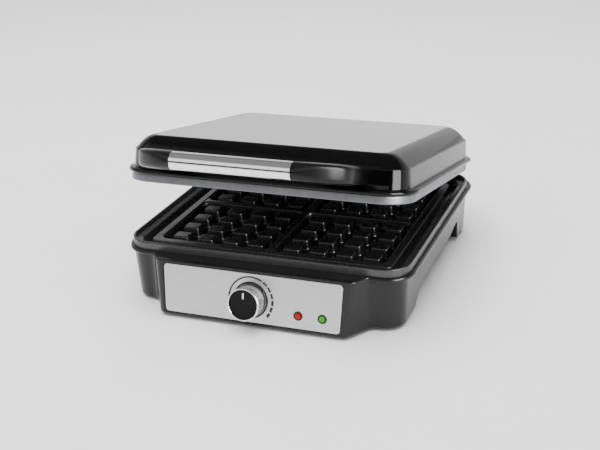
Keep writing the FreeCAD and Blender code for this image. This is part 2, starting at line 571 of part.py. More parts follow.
hb = lug(HX0, HX0 + LUG_T).fuse(lug(HX1 - LUG_T, HX1))
web = yz_prism([(rear_wall_y(-46.0) + 0.02, -46.0), (rear_wall_y(-20.0) + 0.02, -20.0), (276.5, -20.0), (276.5, -46.0)],
               HX0 + 2, HX1 - 2)
hb = hb.fuse(web)
HB_SCREW_Z = (-26.0, -35.2)
HXM = (HX0 + HX1) / 2
base_hinge_screws = []
for z in HB_SCREW_Z:
    hb = hb.cut(cyl(2.1, V(HXM, 260, z), V(0, 1, 0), 30))
    hole = cyl(2.1, V(HXM, 260, z), V(0, 1, 0), 20)
    base_housing = base_housing.cut(hole).cut(mirror(hole))
    s = cyl(3.7, V(HXM, 276.5, z), V(0, 1, 0), 2.4)
    s = try_fillet(s, 0.8, lambda e: abs(e.BoundBox.YMin - 278.9) < 0.01)
    s = s.cut(box(HXM - 2.2, HXM + 2.2, 277.8, 280, z - 0.5, z + 0.5)).cut(box(HXM - 0.5, HXM + 0.5, 277.8, 280, z - 2.2, z + 2.2))
    s = s.fuse(cyl(2.0, V(HXM, 264.5, z), V(0, 1, 0), 12.0)).fuse(cyl(3.6, V(HXM, 264.6, z), V(0, 1, 0), 2.2))
    base_hinge_screws += [s, mirror(s)]
hb = hb.cut(cyl(PIN_R, V(HX0 - 5, HINGE_Y, HINGE_Z), V(1, 0, 0), 60)).removeSplitter()
base_hinge_right, base_hinge_left = hb, mirror(hb)
pin = cyl(PIN_R, V(HX0 + 0.5, HINGE_Y, HINGE_Z), V(1, 0, 0), HX1 - HX0 - 1.0)
hinge_pins = [pin, mirror(pin)]

# lid arms between the lugs
AX0, AX1 = HX0 + LUG_T + ARM_GAP, HX1 - LUG_T - ARM_GAP


def lid_wall_y(z):
    return REAR - (3.3 + (z - 13.0) * 1.7 / 19.0)


pa = [(lid_wall_y(14.6) + 0.03, 14.6), (lid_wall_y(29.0) + 0.03, 29.0), (277.0, 30.0), (304.0, 6.06),
      (HINGE_Y, HINGE_Z), (293.5, -8.2), (276.4, 7.0), (276.4, 14.6)]
arm = yz_prism(pa, AX0, AX1).fuse(cyl(HINGE_R, V(AX0, HINGE_Y, HINGE_Z), V(1, 0, 0), AX1 - AX0)).removeSplitter()
arm = try_fillet(arm, 0.8, lambda e: abs(e.BoundBox.XLength) < 1e-6)
arm = arm.cut(cyl(PIN_R + SHAFT_GAP, V(HX0 - 5, HINGE_Y, HINGE_Z), V(1, 0, 0), 60))
arm_screws, arm_holes = [], []
for dx in (-4.5, 4.5):
    z = 21.5
    s = cyl(3.4, V(HXM + dx, 264.4, z), V(0, 1, 0), 2.2).fuse(cyl(1.9, V(HXM + dx, 266.0, z), V(0, 1, 0), 10.0))
    arm = arm.cut(cyl(1.95, V(HXM + dx, 260.0, z), V(0, 1, 0), 16.5))
    hole = cyl(2.1, V(HXM + dx, 260.0, z), V(0, 1, 0), 20)
    arm_holes += [hole, mirror(hole)]
    arm_screws += [s, mirror(s)]

# ----------------------------------------------------------------- lid cover
def lid_wire(inset, z, r):
    return rr_wire(-W / 2 + inset, W / 2 - inset, inset, REAR - inset, r, z)


def dome_sections(off, dz, ns=8):
    """Crowned shoulder from the ridge to the steel panel."""
    out = []
    for i in range(ns):
        s = i / (ns - 1.0)
        x = (W / 2 - 6.5 - off) * (1 - s) + (PANEL_X - 0.0) * s
        ya = (6.5 + off) * (1 - s) + PANEL_Y0 * s
        yb = (REAR - 6.5 - off) * (1 - s) + PANEL_Y1 * s
        r = (20.5 - off) * (1 - s) + PANEL_R * s
        z = LID_RIDGE_Z - dz + (LID_TOP_Z - LID_RIDGE_Z) * (1 - (1 - s) ** 2)
        out.append(rr_wire(-x, x, ya, yb, r, z))
    return out


lbead = rr_prism(-W / 2 - LID_BEAD, W / 2 + LID_BEAD, -LID_BEAD, REAR, R_UP + LID_BEAD, U1, U1 + BEAD_H)
lbead = try_fillet(lbead, BEAD_H / 2 - 0.02, lambda e: abs(e.BoundBox.ZLength) < 1e-6)
lwall = loft([lid_wire(3.3, U1 + 1.0, 24.7), lid_wire(5.0, LID_RIDGE_Z, 22.0)])
lwall = try_fillet(lwall, 0.7, lambda e: abs(e.BoundBox.ZMin - LID_RIDGE_Z) < 1e-4)
ldome = loft(dome_sections(0.0, 0.0), False)
lcav = loft([lid_wire(3.3 + SHELL, U1 - 2.0, 22.0), lid_wire(5.0 + SHELL, LID_RIDGE_Z - 2.6, 19.4)])
lcav2 = loft([rr_wire(-W / 2 + 7.6, W / 2 - 7.6, 7.6, REAR - 7.6, 19.4, LID_RIDGE_Z - 2.6),
              rr_wire(-130, 130, 14.5, REAR - 15.5, 14, LID_RIDGE_Z + 5.0),
              rr_wire(-118, 118, PANEL_Y0 + 1, PANEL_Y1 - 1, 9, LID_RIDGE_Z + 9.0)])
lid_housing = lbead.fuse(lwall).fuse(ldome).cut(lcav).cut(lcav2)
lid_housing = lid_housing.cut(rr_prism(-PANEL_X + 0.3, PANEL_X - 0.3, PANEL_Y0 + 0.3, PANEL_Y1 - 0.3, PANEL_R - 0.3,
                                       LID_TOP_Z - PANEL_T, LID_TOP_Z + 2))
for h in arm_holes:
    lid_housing = lid_housing.cut(h)
lid_top_panel = rr_prism(-PANEL_X + 0.45, PANEL_X - 0.45, PANEL_Y0 + 0.45, PANEL_Y1 - 0.45, PANEL_R - 0.45,
                         LID_TOP_Z - PANEL_T, LID_TOP_Z + 0.05)
lid_top_panel = try_fillet(lid_top_panel, 0.25, lambda e: abs(e.BoundBox.ZMin - LID_TOP_Z - 0.05) < 1e-4)

# -------------------------------------------------------------------- handle
def bracket_solid():
    z0, z1 = 0.0, 60.0
    pts = [V(58.5, TUBE_Y + 9.4, z0), V(66.0, -34.0, z0), V(69.0, -14.0, z0), V(62.0, 0.5, z0), V(60.0, 8.0, z0),
           V(108.8, 8.0, z0), V(108.0, 0.0, z0), V(106.8, -26.0, z0), V(104.0, -36.5, z0), V(95.0, -44.5, z0),
           V(78.0, -55.0, z0), V(58.5, TUBE_Y - 9.0, z0)]
    b1 = Part.BSplineCurve()
    b1.interpolate([pts[0], pts[1], pts[2], pts[3]])
    b2 = Part.BSplineCurve()
    b2.interpolate([pts[6], pts[7], pts[8], pts[9], pts[10], pts[11]])
    w = Part.Wire([b1.toShape(), Part.makeLine(pts[3], pts[4]), Part.makeLine(pts[4], pts[5]),
                   Part.makeLine(pts[5], pts[6]), b2.toShape(), Part.makeLine(pts[11], pts[0])])
    plan = Part.Face(w).extrude(V(0, 0, z1))
    side = [(12.0, 14.0), (2.0, 16.0), (-38.0, 21.9), (-52.0, 24.5), (-70.0, 25.2), (-70.0, 42.5), (-52.0, 42.3),
            (-38.0, 40.0), (2.0, 34.4), (12.0, 33.0)]
    s = plan.common(yz_prism(side, 40, 130))
    return s


hbk = bracket_solid()
for r in (3.2, 2.4, 1.6, 1.0):
    f = try_fillet(hbk, r, lambda e: mid(e).y < 6 and mid(e).x > 60.5 and not (
        abs(e.BoundBox.XLength) < 1e-3 and mid(e).x < 59) and abs(e.BoundBox.YMax - 8.0) > 0.01 and
        e.BoundBox.ZLength < 14.5 and e.Length > 6)
    if abs(f.Volume - hbk.Volume) > 1:
        hbk = f
        break
# keep the root clear of the lid wall and its bead
hbk = hbk.cut(lbead).cut(lwall).cut(ldome).cut(lcav)
sol = sorted(hbk.Solids, key=lambda s: -s.Volume)
hbk = sol[0]
collar = cyl(TUBE_R + 0.25, V(TUBE_HALF, TUBE_Y, TUBE_Z), V(1, 0, 0), 12.0)
hbk = hbk.fuse(collar).cut(cyl(TUBE_R, V(TUBE_HALF - 1, TUBE_Y, TUBE_Z), V(1, 0, 0), TUBE_IN + 1.0))
handle_screws = []
for x in (76.0, 98.0):
    z = 25.0
    hole = cyl(2.1, V(x, -5, z), V(0, 1, 0), 30)
    lid_housing = lid_housing.cut(hole).cut(mirror(hole))
    hbk = hbk.cut(cyl(1.95, V(x, -14.0, z), V(0, 1, 0), 25.0))
    s = cyl(1.9, V(x, -10.0, z), V(0, 1, 0), 18.2).fuse(cyl(3.8, V(x, 8.2, z), V(0, 1, 0), 2.2))
    handle_screws += [s, mirror(s)]
handle_bracket_right = hbk.removeSplitter()
handle_bracket_left = mirror(handle_bracket_right)
handle_tube = cyl(TUBE_R, V(-TUBE_HALF - TUBE_IN, TUBE_Y, TUBE_Z), V(1, 0, 0), 2 * (TUBE_HALF + TUBE_IN)).cut(
    cyl(TUBE_R - TUBE_T, V(-TUBE_HALF - TUBE_IN - 1, TUBE_Y, TUBE_Z), V(1, 0, 0), 2 * (TUBE_HALF + TUBE_IN) + 2))
lid_housing = lid_housing.removeSplitter()

# -------------------------------------------------------------- node lists
BASE = {
    "base_housing": [base_housing], "bottom_cover": [cover], "cover_screws": screws, "screw_posts": posts,
    "front_feet": front_feet, "rear_feet": rear_feet, "lower_plate": [lower_plate],
    "lower_heating_element": [lower_element], "lower_element_pins": lower_pins, "lower_reflector": [lower_reflector],
    "lower_plate_screws": lower_screws, "fascia_plate": [fascia_plate], "dial_scale": dial_scale,
    "lamp_collars": lamp_bodies, "red_lens": [lenses[0]], "green_lens": [lenses[1]],
    "thermostat_bracket": [thermostat_bracket], "thermostat": [thermostat], "terminal_block": [terminal_block],
    "thermal_fuse": [thermal_fuse], "cord_gland": [gland], "mains_lead": [mains_lead], "heater_lead": [heater_lead],
    "base_hinge_left": [base_hinge_left], "base_hinge_right": [base_hinge_right],
    "base_hinge_screws": base_hinge_screws, "hinge_pins": hinge_pins,
}
LID = {
    "lid_housing": [lid_housing], "lid_top_panel": [lid_top_panel], "upper_plate": [upper_plate],
    "upper_heating_element": [upper_element], "upper_element_pins": upper_pins, "upper_reflector": [upper_reflector],
    "upper_plate_screws": upper_screws, "handle_bracket_left": [handle_bracket_left],
    "handle_bracket_right": [handle_bracket_right], "handle_tube": [handle_tube], "handle_screws": handle_screws,
    "lid_hinge_arm_left": [mirror(arm)], "lid_hinge_arm_right": [arm], "lid_arm_screws": arm_screws,
}
KNOB = {n: [on_panel(s) for s in ss] for n, ss in knob_parts.items()}

# ------------------------------------------------- move to the row frame
ROW_Y = -128.044        # shift so that the row origin is the bottom centre of the box
ROW_Z = -GROUND


def place(shapes, lid=False):
    out = []
    for s in shapes:
        s = s.copy()
        if lid:
            s.rotate(V(0, HINGE_Y, HINGE_Z), V(1, 0, 0), -LID_OPEN)
        s.translate(V(0, ROW_Y, ROW_Z))
        out.append(s)
    return out


for n, ss in BASE.items():
    OUT[n] = place(ss)
for n, ss in KNOB.items():
    OUT[n] = place(ss)
for n, ss in LID.items():
    OUT[n] = place(ss, True)

os.makedirs("parts", exist_ok=True)
lo = [1e9] * 3
hi = [-1e9] * 3
for n, ss in OUT.items():
    solids = []
    for s in ss:
        solids += s.Solids
    shape = solids[0] if len(solids) == 1 else Part.makeCompound(solids)
    b = shape.optimalBoundingBox(False, False)
    for i, (a, c) in enumerate(((b.XMin, b.XMax), (b.YMin, b.YMax), (b.ZMin, b.ZMax))):
        lo[i] = min(lo[i], a)
        hi[i] = max(hi[i], c)
    ok = all(s.isValid() and s.Volume > 0 for s in solids)
    print("%-24s solids %2d  vol %9.1f  valid %s" % (n, len(solids), sum(s.Volume for s in solids), ok))
    shape.exportStep("parts/%s.step" % n)
print("box", [round(v, 3) for v in lo], [round(v, 3) for v in hi], "centre y", round((lo[1] + hi[1]) / 2, 3))
print("nodes", len(OUT))
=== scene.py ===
import bpy
import bmesh
import json
import math
import random
import numpy as np
from mathutils import Matrix, Vector, noise


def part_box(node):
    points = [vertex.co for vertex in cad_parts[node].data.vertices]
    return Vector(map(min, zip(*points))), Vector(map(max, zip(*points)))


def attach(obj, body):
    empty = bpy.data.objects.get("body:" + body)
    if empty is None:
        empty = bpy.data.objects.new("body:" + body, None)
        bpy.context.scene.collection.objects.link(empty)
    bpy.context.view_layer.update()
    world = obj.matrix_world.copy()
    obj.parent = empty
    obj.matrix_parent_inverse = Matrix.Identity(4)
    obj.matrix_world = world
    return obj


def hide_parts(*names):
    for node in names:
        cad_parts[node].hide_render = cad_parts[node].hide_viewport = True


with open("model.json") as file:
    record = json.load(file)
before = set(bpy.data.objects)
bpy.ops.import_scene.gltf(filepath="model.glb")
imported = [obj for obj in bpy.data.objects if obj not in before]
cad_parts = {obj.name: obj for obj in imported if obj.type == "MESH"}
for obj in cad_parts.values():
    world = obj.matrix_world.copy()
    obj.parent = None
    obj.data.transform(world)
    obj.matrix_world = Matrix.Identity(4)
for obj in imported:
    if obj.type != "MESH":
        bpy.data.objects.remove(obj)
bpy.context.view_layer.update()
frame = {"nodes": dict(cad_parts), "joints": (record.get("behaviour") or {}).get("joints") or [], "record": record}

NODES = frame["nodes"]
JOINTS = {j["name"]: j for j in frame["joints"]}

# ---------------------------------------------------------------- frames
# Pieces are drawn in millimetres in the appliance's own working frame: x = 0 on
# the symmetry plane, y = 0 on the front face of the plate rims, z = 0 on the
# lower rim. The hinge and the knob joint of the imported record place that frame.
HINGE = Vector(JOINTS["lid_hinge"]["pos_m"])
OPEN = math.radians(-JOINTS["lid_hinge"]["range_deg"][0])
HINGE_MM = Vector((0.0, 300.0, -2.0))
ORIGIN = HINGE - HINGE_MM * 0.001
M_BASE = Matrix.Translation(ORIGIN)
M_LID = Matrix.Translation(HINGE) @ Matrix.Rotation(-OPEN, 4, "X") @ Matrix.Translation(-HINGE_MM * 0.001)
KNOB_POS = Vector(JOINTS["thermostat_knob"]["pos_m"])
KNOB_AX = Vector(JOINTS["thermostat_knob"]["axis"]).normalized()
_up = KNOB_AX.cross(Vector((1, 0, 0))).normalized()
M_KNOB = Matrix.Translation(KNOB_POS) @ Matrix(((1, _up.x, KNOB_AX.x, 0), (0, _up.y, KNOB_AX.y, 0),
                                                (0, _up.z, KNOB_AX.z, 0), (0, 0, 0, 1)))
# the panel frame has the same axes, with its origin where the knob axis meets it
M_PANEL = M_KNOB.copy()

plate_lo, plate_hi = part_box("lower_plate")
W = round((plate_hi.x - plate_lo.x) * 1000, 2)
D = round((plate_hi.y - plate_lo.y) * 1000, 2)
house_lo, house_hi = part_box("base_housing")
REAR = round((house_hi.y - ORIGIN.y) * 1000, 2)
R_LOW, R_UP = 25.0, 31.0


# ---------------------------------------------------------------- mesh tools
def rr(x0, x1, y0, y1, r, n=10, z=0.0):
    """Rounded rectangle as a loop of points, n + 1 points a corner."""
    r = max(r, 0.02)
    pts = []
    for cx, cy, a0 in ((x1 - r, y0 + r, -90), (x1 - r, y1 - r, 0), (x0 + r, y1 - r, 90), (x0 + r, y0 + r, 180)):
        for i in range(n + 1):
            a = math.radians(a0 + 90.0 * i / n)
            pts.append(Vector((cx + r * math.cos(a), cy + r * math.sin(a), z)))
    return pts


def inset_loop(inset, z, r=None, corner=R_LOW, n=10):
    rad = max(corner - inset, 0.3) if r is None else r
    return rr(-W / 2 + inset, W / 2 - inset, inset, D - inset, rad, n, z)


def circle(r, z, n=96, phase=0.0):
    return [Vector((r * math.cos(2 * math.pi * i / n + phase), r * math.sin(2 * math.pi * i / n + phase), z))
            for i in range(n)]


class Builder:
    """Collects verts and faces with a material index per face."""

    def __init__(self):
        self.v = []
        self.f = []
        self.m = []

    def add(self, verts, faces, mat=0):
        k = len(self.v)
        self.v += [Vector(p) for p in verts]
        self.f += [tuple(i + k for i in f) for f in faces]
        self.m += [mat] * len(faces)
        return k

    def sweep(self, loops, mats=0, cap0=False, cap1=False, closed=False, flip=False):
        n = len(loops[0])
        verts = [p for lp in loops for p in lp]
        faces, fm = [], []
        rng = len(loops) if closed else len(loops) - 1
        for s in range(rng):
            t = (s + 1) % len(loops)
            for i in range(n):
                j = (i + 1) % n
                q = (s * n + i, s * n + j, t * n + j, t * n + i)
                faces.append(q[::-1] if flip else q)
                fm.append(mats[s] if isinstance(mats, (list, tuple)) else mats)
        if cap0:
            q = tuple(range(n))
            faces.append(q if flip else q[::-1])
            fm.append(mats[0] if isinstance(mats, (list, tuple)) else mats)
        if cap1:
            q = tuple((len(loops) - 1) * n + i for i in range(n))
            faces.append(q[::-1] if flip else q)
            fm.append(mats[-1] if isinstance(mats, (list, tuple)) else mats)
        k = len(self.v)
        self.v += verts
        self.f += [tuple(i + k for i in f) for f in faces]
        self.m += fm

    def grid(self, xs, ys, fz, mat=0, flip=False):
        nx, ny = len(xs), len(ys)
        verts = [Vector((x, y, fz(x, y))) for y in ys for x in xs]
        faces = []
        for j in range(ny - 1):
            for i in range(nx - 1):
                q = (j * nx + i, j * nx + i + 1, (j + 1) * nx + i + 1, (j + 1) * nx + i)
                faces.append(q[::-1] if flip else q)
        self.add(verts, faces, mat)

    def make(self, name, matrix, materials, body, angle=32.0, weld=0.0, slot=None):
        me = bpy.data.meshes.new(name)
        me.from_pydata([p * 0.001 for p in self.v], [], self.f)
        for m in materials:
            me.materials.append(m)
        me.polygons.foreach_set("material_index", self.m)
        me.update()
        if weld:
            bm = bmesh.new()
            bm.from_mesh(me)
            bmesh.ops.remove_doubles(bm, verts=bm.verts, dist=weld * 0.001)
            bmesh.ops.dissolve_degenerate(bm, edges=bm.edges, dist=1e-7)
            bm.to_mesh(me)
            bm.free()
        me.validate()
        me.polygons.foreach_set("use_smooth", [True] * len(me.polygons))
        me.set_sharp_from_angle(angle=math.radians(angle))
        ob = bpy.data.objects.new(name, me)
        bpy.context.scene.collection.objects.link(ob)
        ob.matrix_world = matrix
        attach(ob, body)
        return ob


# ---------------------------------------------------------------- materials
def new_mat(name):
    m = bpy.data.materials.new(name)
    m.use_nodes = True
    nt = m.node_tree
    nt.nodes.clear()
    out = nt.nodes.new("ShaderNodeOutputMaterial")
    b = nt.nodes.new("ShaderNodeBsdfPrincipled")
    nt.links.new(b.outputs[0], out.inputs[0])
    return m, nt, b


def N(nt, kind, **props):
    n = nt.nodes.new(kind)
    for k, v in props.items():
        setattr(n, k, v)
    return n


def coords(nt, scale=(1, 1, 1), kind="Object"):
    tc = N(nt, "ShaderNodeTexCoord")
    mp = N(nt, "ShaderNodeMapping")
    mp.inputs["Scale"].default_value = scale
    nt.links.new(tc.outputs[kind], mp.inputs["Vector"])
    return mp.outputs["Vector"]


def noise_tex(nt, vec, scale, detail=4.0, rough=0.55, dist=0.0):
    n = N(nt, "ShaderNodeTexNoise")
    n.inputs["Scale"].default_value = scale
    n.inputs["Detail"].default_value = detail
    n.inputs["Roughness"].default_value = rough
    n.inputs["Distortion"].default_value = dist
    nt.links.new(vec, n.inputs["Vector"])
    return n.outputs["Fac"]


def ramp(nt, fac, stops):
    r = N(nt, "ShaderNodeValToRGB")
    e = r.color_ramp.elements
    while len(e) < len(stops):
        e.new(0.5)
    for i, (p, c) in enumerate(stops):
        e[i].position = p
        e[i].color = (c[0], c[1], c[2], 1) if isinstance(c, (tuple, list)) else (c, c, c, 1)
    nt.links.new(fac, r.inputs["Fac"])
    return r.outputs["Color"]


def maprange(nt, fac, a0, a1, b0, b1, clamp=True):
    m = N(nt, "ShaderNodeMapRange", clamp=clamp)
    nt.links.new(fac, m.inputs["Value"])
    for k, v in zip(("From Min", "From Max", "To Min", "To Max"), (a0, a1, b0, b1)):
        m.inputs[k].default_value = v
    return m.outputs["Result"]


def math_node(nt, op, a, b=None):
    m = N(nt, "ShaderNodeMath", operation=op)
    for i, x in enumerate((a, b)):
        if x is None:
            continue
        if isinstance(x, (int, float)):
            m.inputs[i].default_value = x
        else:
            nt.links.new(x, m.inputs[i])
    return m.outputs[0]


def mix_col(nt, fac, a, b, mode="MIX"):
    m = N(nt, "ShaderNodeMix", data_type="RGBA", blend_type=mode)
    if isinstance(fac, (int, float)):
        m.inputs[0].default_value = fac
    else:
        nt.links.new(fac, m.inputs[0])
    for k, x in ((6, a), (7, b)):
        if isinstance(x, (tuple, list)):
            m.inputs[k].default_value = (x[0], x[1], x[2], 1)
        else:
            nt.links.new(x, m.inputs[k])
    return m.outputs[2]


def bump(nt, bsdf, height, strength, distance):
    b = N(nt, "ShaderNodeBump")
    b.inputs["Strength"].default_value = strength
    b.inputs["Distance"].default_value = distance
    nt.links.new(height, b.inputs["Height"])
    prev = bsdf.inputs["Normal"].links[0].from_socket if bsdf.inputs["Normal"].is_linked else None
    if prev is not None:
        nt.links.new(prev, b.inputs["Normal"])
    nt.links.new(b.outputs["Normal"], bsdf.inputs["Normal"])
    return b


def gloss_black(name, base=(0.0055, 0.0055, 0.006), r0=0.05, r1=0.13, peel=0.04, ior=1.5):
    """High-gloss moulded black: faint orange peel, smudges in the gloss."""
    m, nt, b = new_mat(name)
    v = coords(nt)
    smudge = noise_tex(nt, v, 22.0, 6.0, 0.62, 0.6)
    fine = noise_tex(nt, v, 900.0, 2.0)
    peel_n = noise_tex(nt, v, 260.0, 1.0)
    nt.links.new(maprange(nt, math_node(nt, "ADD", smudge, math_node(nt, "MULTIPLY", fine, 0.15)), 0.42, 0.85, r0, r1),
                 b.inputs["Roughness"])
    nt.links.new(ramp(nt, smudge, [(0.3, base), (0.8, tuple(c * 1.9 for c in base))]), b.inputs["Base Color"])
    bump(nt, b, peel_n, peel, 0.0003)
    b.inputs["IOR"].default_value = ior
    return m


def satin_black(name, base=(0.017, 0.017, 0.018), r0=0.26, r1=0.36, grain=0.16, grain_scale=2600.0, ior=1.5):
    """Fine spark-eroded moulded plastic."""
    m, nt, b = new_mat(name)
    v = coords(nt)
    cloud = noise_tex(nt, v, 30.0, 5.0, 0.6)
    g = noise_tex(nt, v, grain_scale, 2.0, 0.5)
    vor = N(nt, "ShaderNodeTexVoronoi", feature="F1")
    vor.inputs["Scale"].default_value = grain_scale * 0.55
    nt.links.new(v, vor.inputs["Vector"])
    h = math_node(nt, "ADD", g, math_node(nt, "MULTIPLY", vor.outputs["Distance"], 0.6))
    nt.links.new(maprange(nt, cloud, 0.35, 0.7, r0, r1), b.inputs["Roughness"])
    nt.links.new(ramp(nt, cloud, [(0.3, base), (0.75, tuple(c * 1.35 for c in base))]), b.inputs["Base Color"])
    bump(nt, b, h, grain, 0.00012)
    b.inputs["IOR"].default_value = ior
    return m


def brushed(name, col=(0.60, 0.60, 0.605), axis="X", r0=0.24, r1=0.42, aniso=0.55, streak=1.0, bumpy=0.05, long_scale=6.0,
            fine_scale=2600.0, tangent=True):
    """Brushed stainless: long fine scratches along one axis."""
    m, nt, b = new_mat(name)
    sx = {"X": (long_scale, fine_scale, fine_scale), "Y": (fine_scale, long_scale, fine_scale),
          "Z": (fine_scale, fine_scale, long_scale)}[axis]
    v = coords(nt, tuple(s / 1000.0 for s in sx))
    n1 = noise_tex(nt, v, 1000.0, 3.0, 0.65)
    v2 = coords(nt, tuple(s / 4000.0 for s in sx))
    n2 = noise_tex(nt, v2, 1000.0, 2.0, 0.5)
    v3 = coords(nt)
    cloud = noise_tex(nt, v3, 9.0, 3.0, 0.5)
    mixn = math_node(nt, "ADD", math_node(nt, "MULTIPLY", n1, 0.6), math_node(nt, "MULTIPLY", n2, 0.4))
    b.inputs["Metallic"].default_value = 1.0
    lo = tuple(c * (1 - 0.10 * streak) for c in col)
    hi = tuple(min(1, c * (1 + 0.08 * streak)) for c in col)
    c1 = ramp(nt, mixn, [(0.36, lo), (0.64, hi)])
    nt.links.new(mix_col(nt, maprange(nt, cloud, 0.3, 0.7, 0.0, 0.25), c1, tuple(c * 0.93 for c in col)),
                 b.inputs["Base Color"])
    nt.links.new(maprange(nt, mixn, 0.3, 0.7, r0, r1), b.inputs["Roughness"])
    bump(nt, b, mixn, bumpy, 0.00005)
    if aniso and tangent:
        b.inputs["Anisotropic"].default_value = aniso
        t = N(nt, "ShaderNodeCombineXYZ")
        t.inputs[{"X": 0, "Y": 1, "Z": 2}[axis]].default_value = 1.0
        nt.links.new(t.outputs[0], b.inputs["Tangent"])
    return m


def coated(name, base=(0.014, 0.014, 0.015), r0=0.22, r1=0.34, speck=0.5):
    """Non-stick coating: satin, faint mottling and tiny bright specks, softly pitted."""
    m, nt, b = new_mat(name)
    v = coords(nt)
    mot = noise_tex(nt, v, 420.0, 3.0, 0.6)
    cloud = noise_tex(nt, v, 26.0, 4.0, 0.6)
    pit = noise_tex(nt, v, 1500.0, 2.0, 0.5)
    vor = N(nt, "ShaderNodeTexVoronoi", feature="F1")
    vor.inputs["Scale"].default_value = 1400.0
    nt.links.new(v, vor.inputs["Vector"])
    spk = ramp(nt, vor.outputs["Distance"], [(0.04, 1.0), (0.10, 0.0)])
    c0 = ramp(nt, mot, [(0.35, base), (0.7, tuple(c * 1.5 for c in base))])
    spk_f = math_node(nt, "MULTIPLY", spk, speck * 0.16)
    nt.links.new(mix_col(nt, spk_f, c0, (0.35, 0.35, 0.36)), b.inputs["Base Color"])
    nt.links.new(maprange(nt, math_node(nt, "ADD", cloud, math_node(nt, "MULTIPLY", mot, 0.4)), 0.5, 0.9, r0, r1),
                 b.inputs["Roughness"])
    bump(nt, b, math_node(nt, "ADD", pit, math_node(nt, "MULTIPLY", mot, 0.8)), 0.16, 0.00012)
    b.inputs["IOR"].default_value = 1.5
    return m


def cast_metal(name, col=(0.30, 0.30, 0.31), metallic=0.85, r0=0.34, r1=0.5, streaks=True):
    """Die-cast wall: grey, fine sandy skin, faint upright flow marks."""
    m, nt, b = new_mat(name)
    v = coords(nt)
    grain = noise_tex(nt, v, 1900.0, 3.0, 0.6)
    cloud = noise_tex(nt, v, 60.0, 5.0, 0.65)
    vs = coords(nt, (0.42, 0.42, 0.03))
    flow = noise_tex(nt, vs, 900.0, 3.0, 0.6)
    b.inputs["Metallic"].default_value = metallic
    t = math_node(nt, "ADD", math_node(nt, "MULTIPLY", grain, 0.45), math_node(nt, "ADD", math_node(nt, "MULTIPLY", flow, 0.25), math_node(nt, "MULTIPLY", cloud, 0.30)))
    nt.links.new(ramp(nt, t, [(0.34, tuple(c * 0.74 for c in col)), (0.66, tuple(c * 1.25 for c in col))]),
                 b.inputs["Base Color"])
    nt.links.new(maprange(nt, cloud, 0.3, 0.7, r0, r1), b.inputs["Roughness"])
    bump(nt, b, math_node(nt, "ADD", grain, math_node(nt, "MULTIPLY", flow, 0.3)), 0.18, 0.0001)
    return m


def simple(name, col, rough=0.5, metallic=0.0, scale=400.0, var=0.15, bumpy=0.1, **kw):
    m, nt, b = new_mat(name)
    v = coords(nt)
    n = noise_tex(nt, v, scale, 4.0, 0.6)
    big = noise_tex(nt, v, scale * 0.08, 4.0, 0.6)
    nt.links.new(ramp(nt, n, [(0.3, tuple(c * (1 - var) for c in col)), (0.7, tuple(min(1, c * (1 + var)) for c in col))]),
                 b.inputs["Base Color"])
    nt.links.new(maprange(nt, big, 0.3, 0.7, max(0.02, rough * 0.85), min(1, rough * 1.15)), b.inputs["Roughness"])
    b.inputs["Metallic"].default_value = metallic
    bump(nt, b, n, bumpy, 0.0001)
    for k, x in kw.items():
        b.inputs[k.replace("_", " ")].default_value = x
    return m


def lens_mat(name, col, deep, glow):
    """Coloured lamp lens: moulded acrylic with a fine prism pattern inside."""
    m, nt, b = new_mat(name)
    v = coords(nt)
    vor = N(nt, "ShaderNodeTexVoronoi", feature="F1")
    vor.inputs["Scale"].default_value = 1100.0
    nt.links.new(v, vor.inputs["Vector"])
    nt.links.new(ramp(nt, vor.outputs["Distance"], [(0.1, col), (0.75, deep)]), b.inputs["Base Color"])
    n = noise_tex(nt, v, 500.0, 2.0)
    nt.links.new(maprange(nt, n, 0.3, 0.7, 0.10, 0.18), b.inputs["Roughness"])
    b.inputs["IOR"].default_value = 1.3
    b.inputs["Coat Weight"].default_value = 0.08
    b.inputs["Coat Roughness"].default_value = 0.04
    b.inputs["Emission Color"].default_value = (col[0], col[1], col[2], 1)
    b.inputs["Emission Strength"].default_value = glow
    return m


MAT = {}
MAT["lid_gloss"] = gloss_black("lid_gloss", (0.0013, 0.0012, 0.0013), 0.07, 0.14, 0.03, 1.32)
MAT["base_gloss"] = gloss_black("base_gloss", (0.0065, 0.0065, 0.007), 0.16, 0.26, 0.05, 1.38)
MAT["handle_gloss"] = gloss_black("handle_gloss", (0.0024, 0.0023, 0.0026), 0.26, 0.34, 0.03, 1.33)
MAT["cover"] = satin_black("cover_grain", (0.022, 0.022, 0.022), 0.42, 0.55, 0.35, 1900.0)
MAT["hinge"] = satin_black("hinge_grain", (0.017, 0.017, 0.018), 0.34, 0.45, 0.3, 2200.0)
MAT["knob_black"] = satin_black("knob_face", (0.0025, 0.0025, 0.0026), 0.36, 0.46, 0.2, 2600.0, 1.25)
MAT["collar"] = satin_black("lamp_collar", (0.008, 0.008, 0.008), 0.2, 0.3, 0.1, 2600.0)
MAT["rubber"] = satin_black("rubber", (0.02, 0.02, 0.02), 0.6, 0.75, 0.4, 1500.0)
MAT["steel_top"] = brushed("steel_top", (0.82, 0.82, 0.825), "X", 0.27, 0.40, 0.5, 0.7, 0.04)
MAT["steel_fascia"] = brushed("steel_fascia", (0.56, 0.56, 0.565), "X", 0.27, 0.40, 0.5, 0.7, 0.04)
MAT["steel_tube"] = brushed("steel_tube", (0.88, 0.875, 0.865), "X", 0.07, 0.13, 0.0, 0.5, 0.02)
MAT["nonstick"] = coated("nonstick")
MAT["plate_wall"] = cast_metal("plate_wall", (0.165, 0.17, 0.182))
MAT["plate_wall_dark"] = cast_metal("plate_wall_dark", (0.055, 0.055, 0.057), 0.35, 0.3, 0.42)
MAT["heater"] = simple("heater_sheath", (0.22, 0.20, 0.19), 0.45, 1.0, 900.0, 0.3, 0.2)
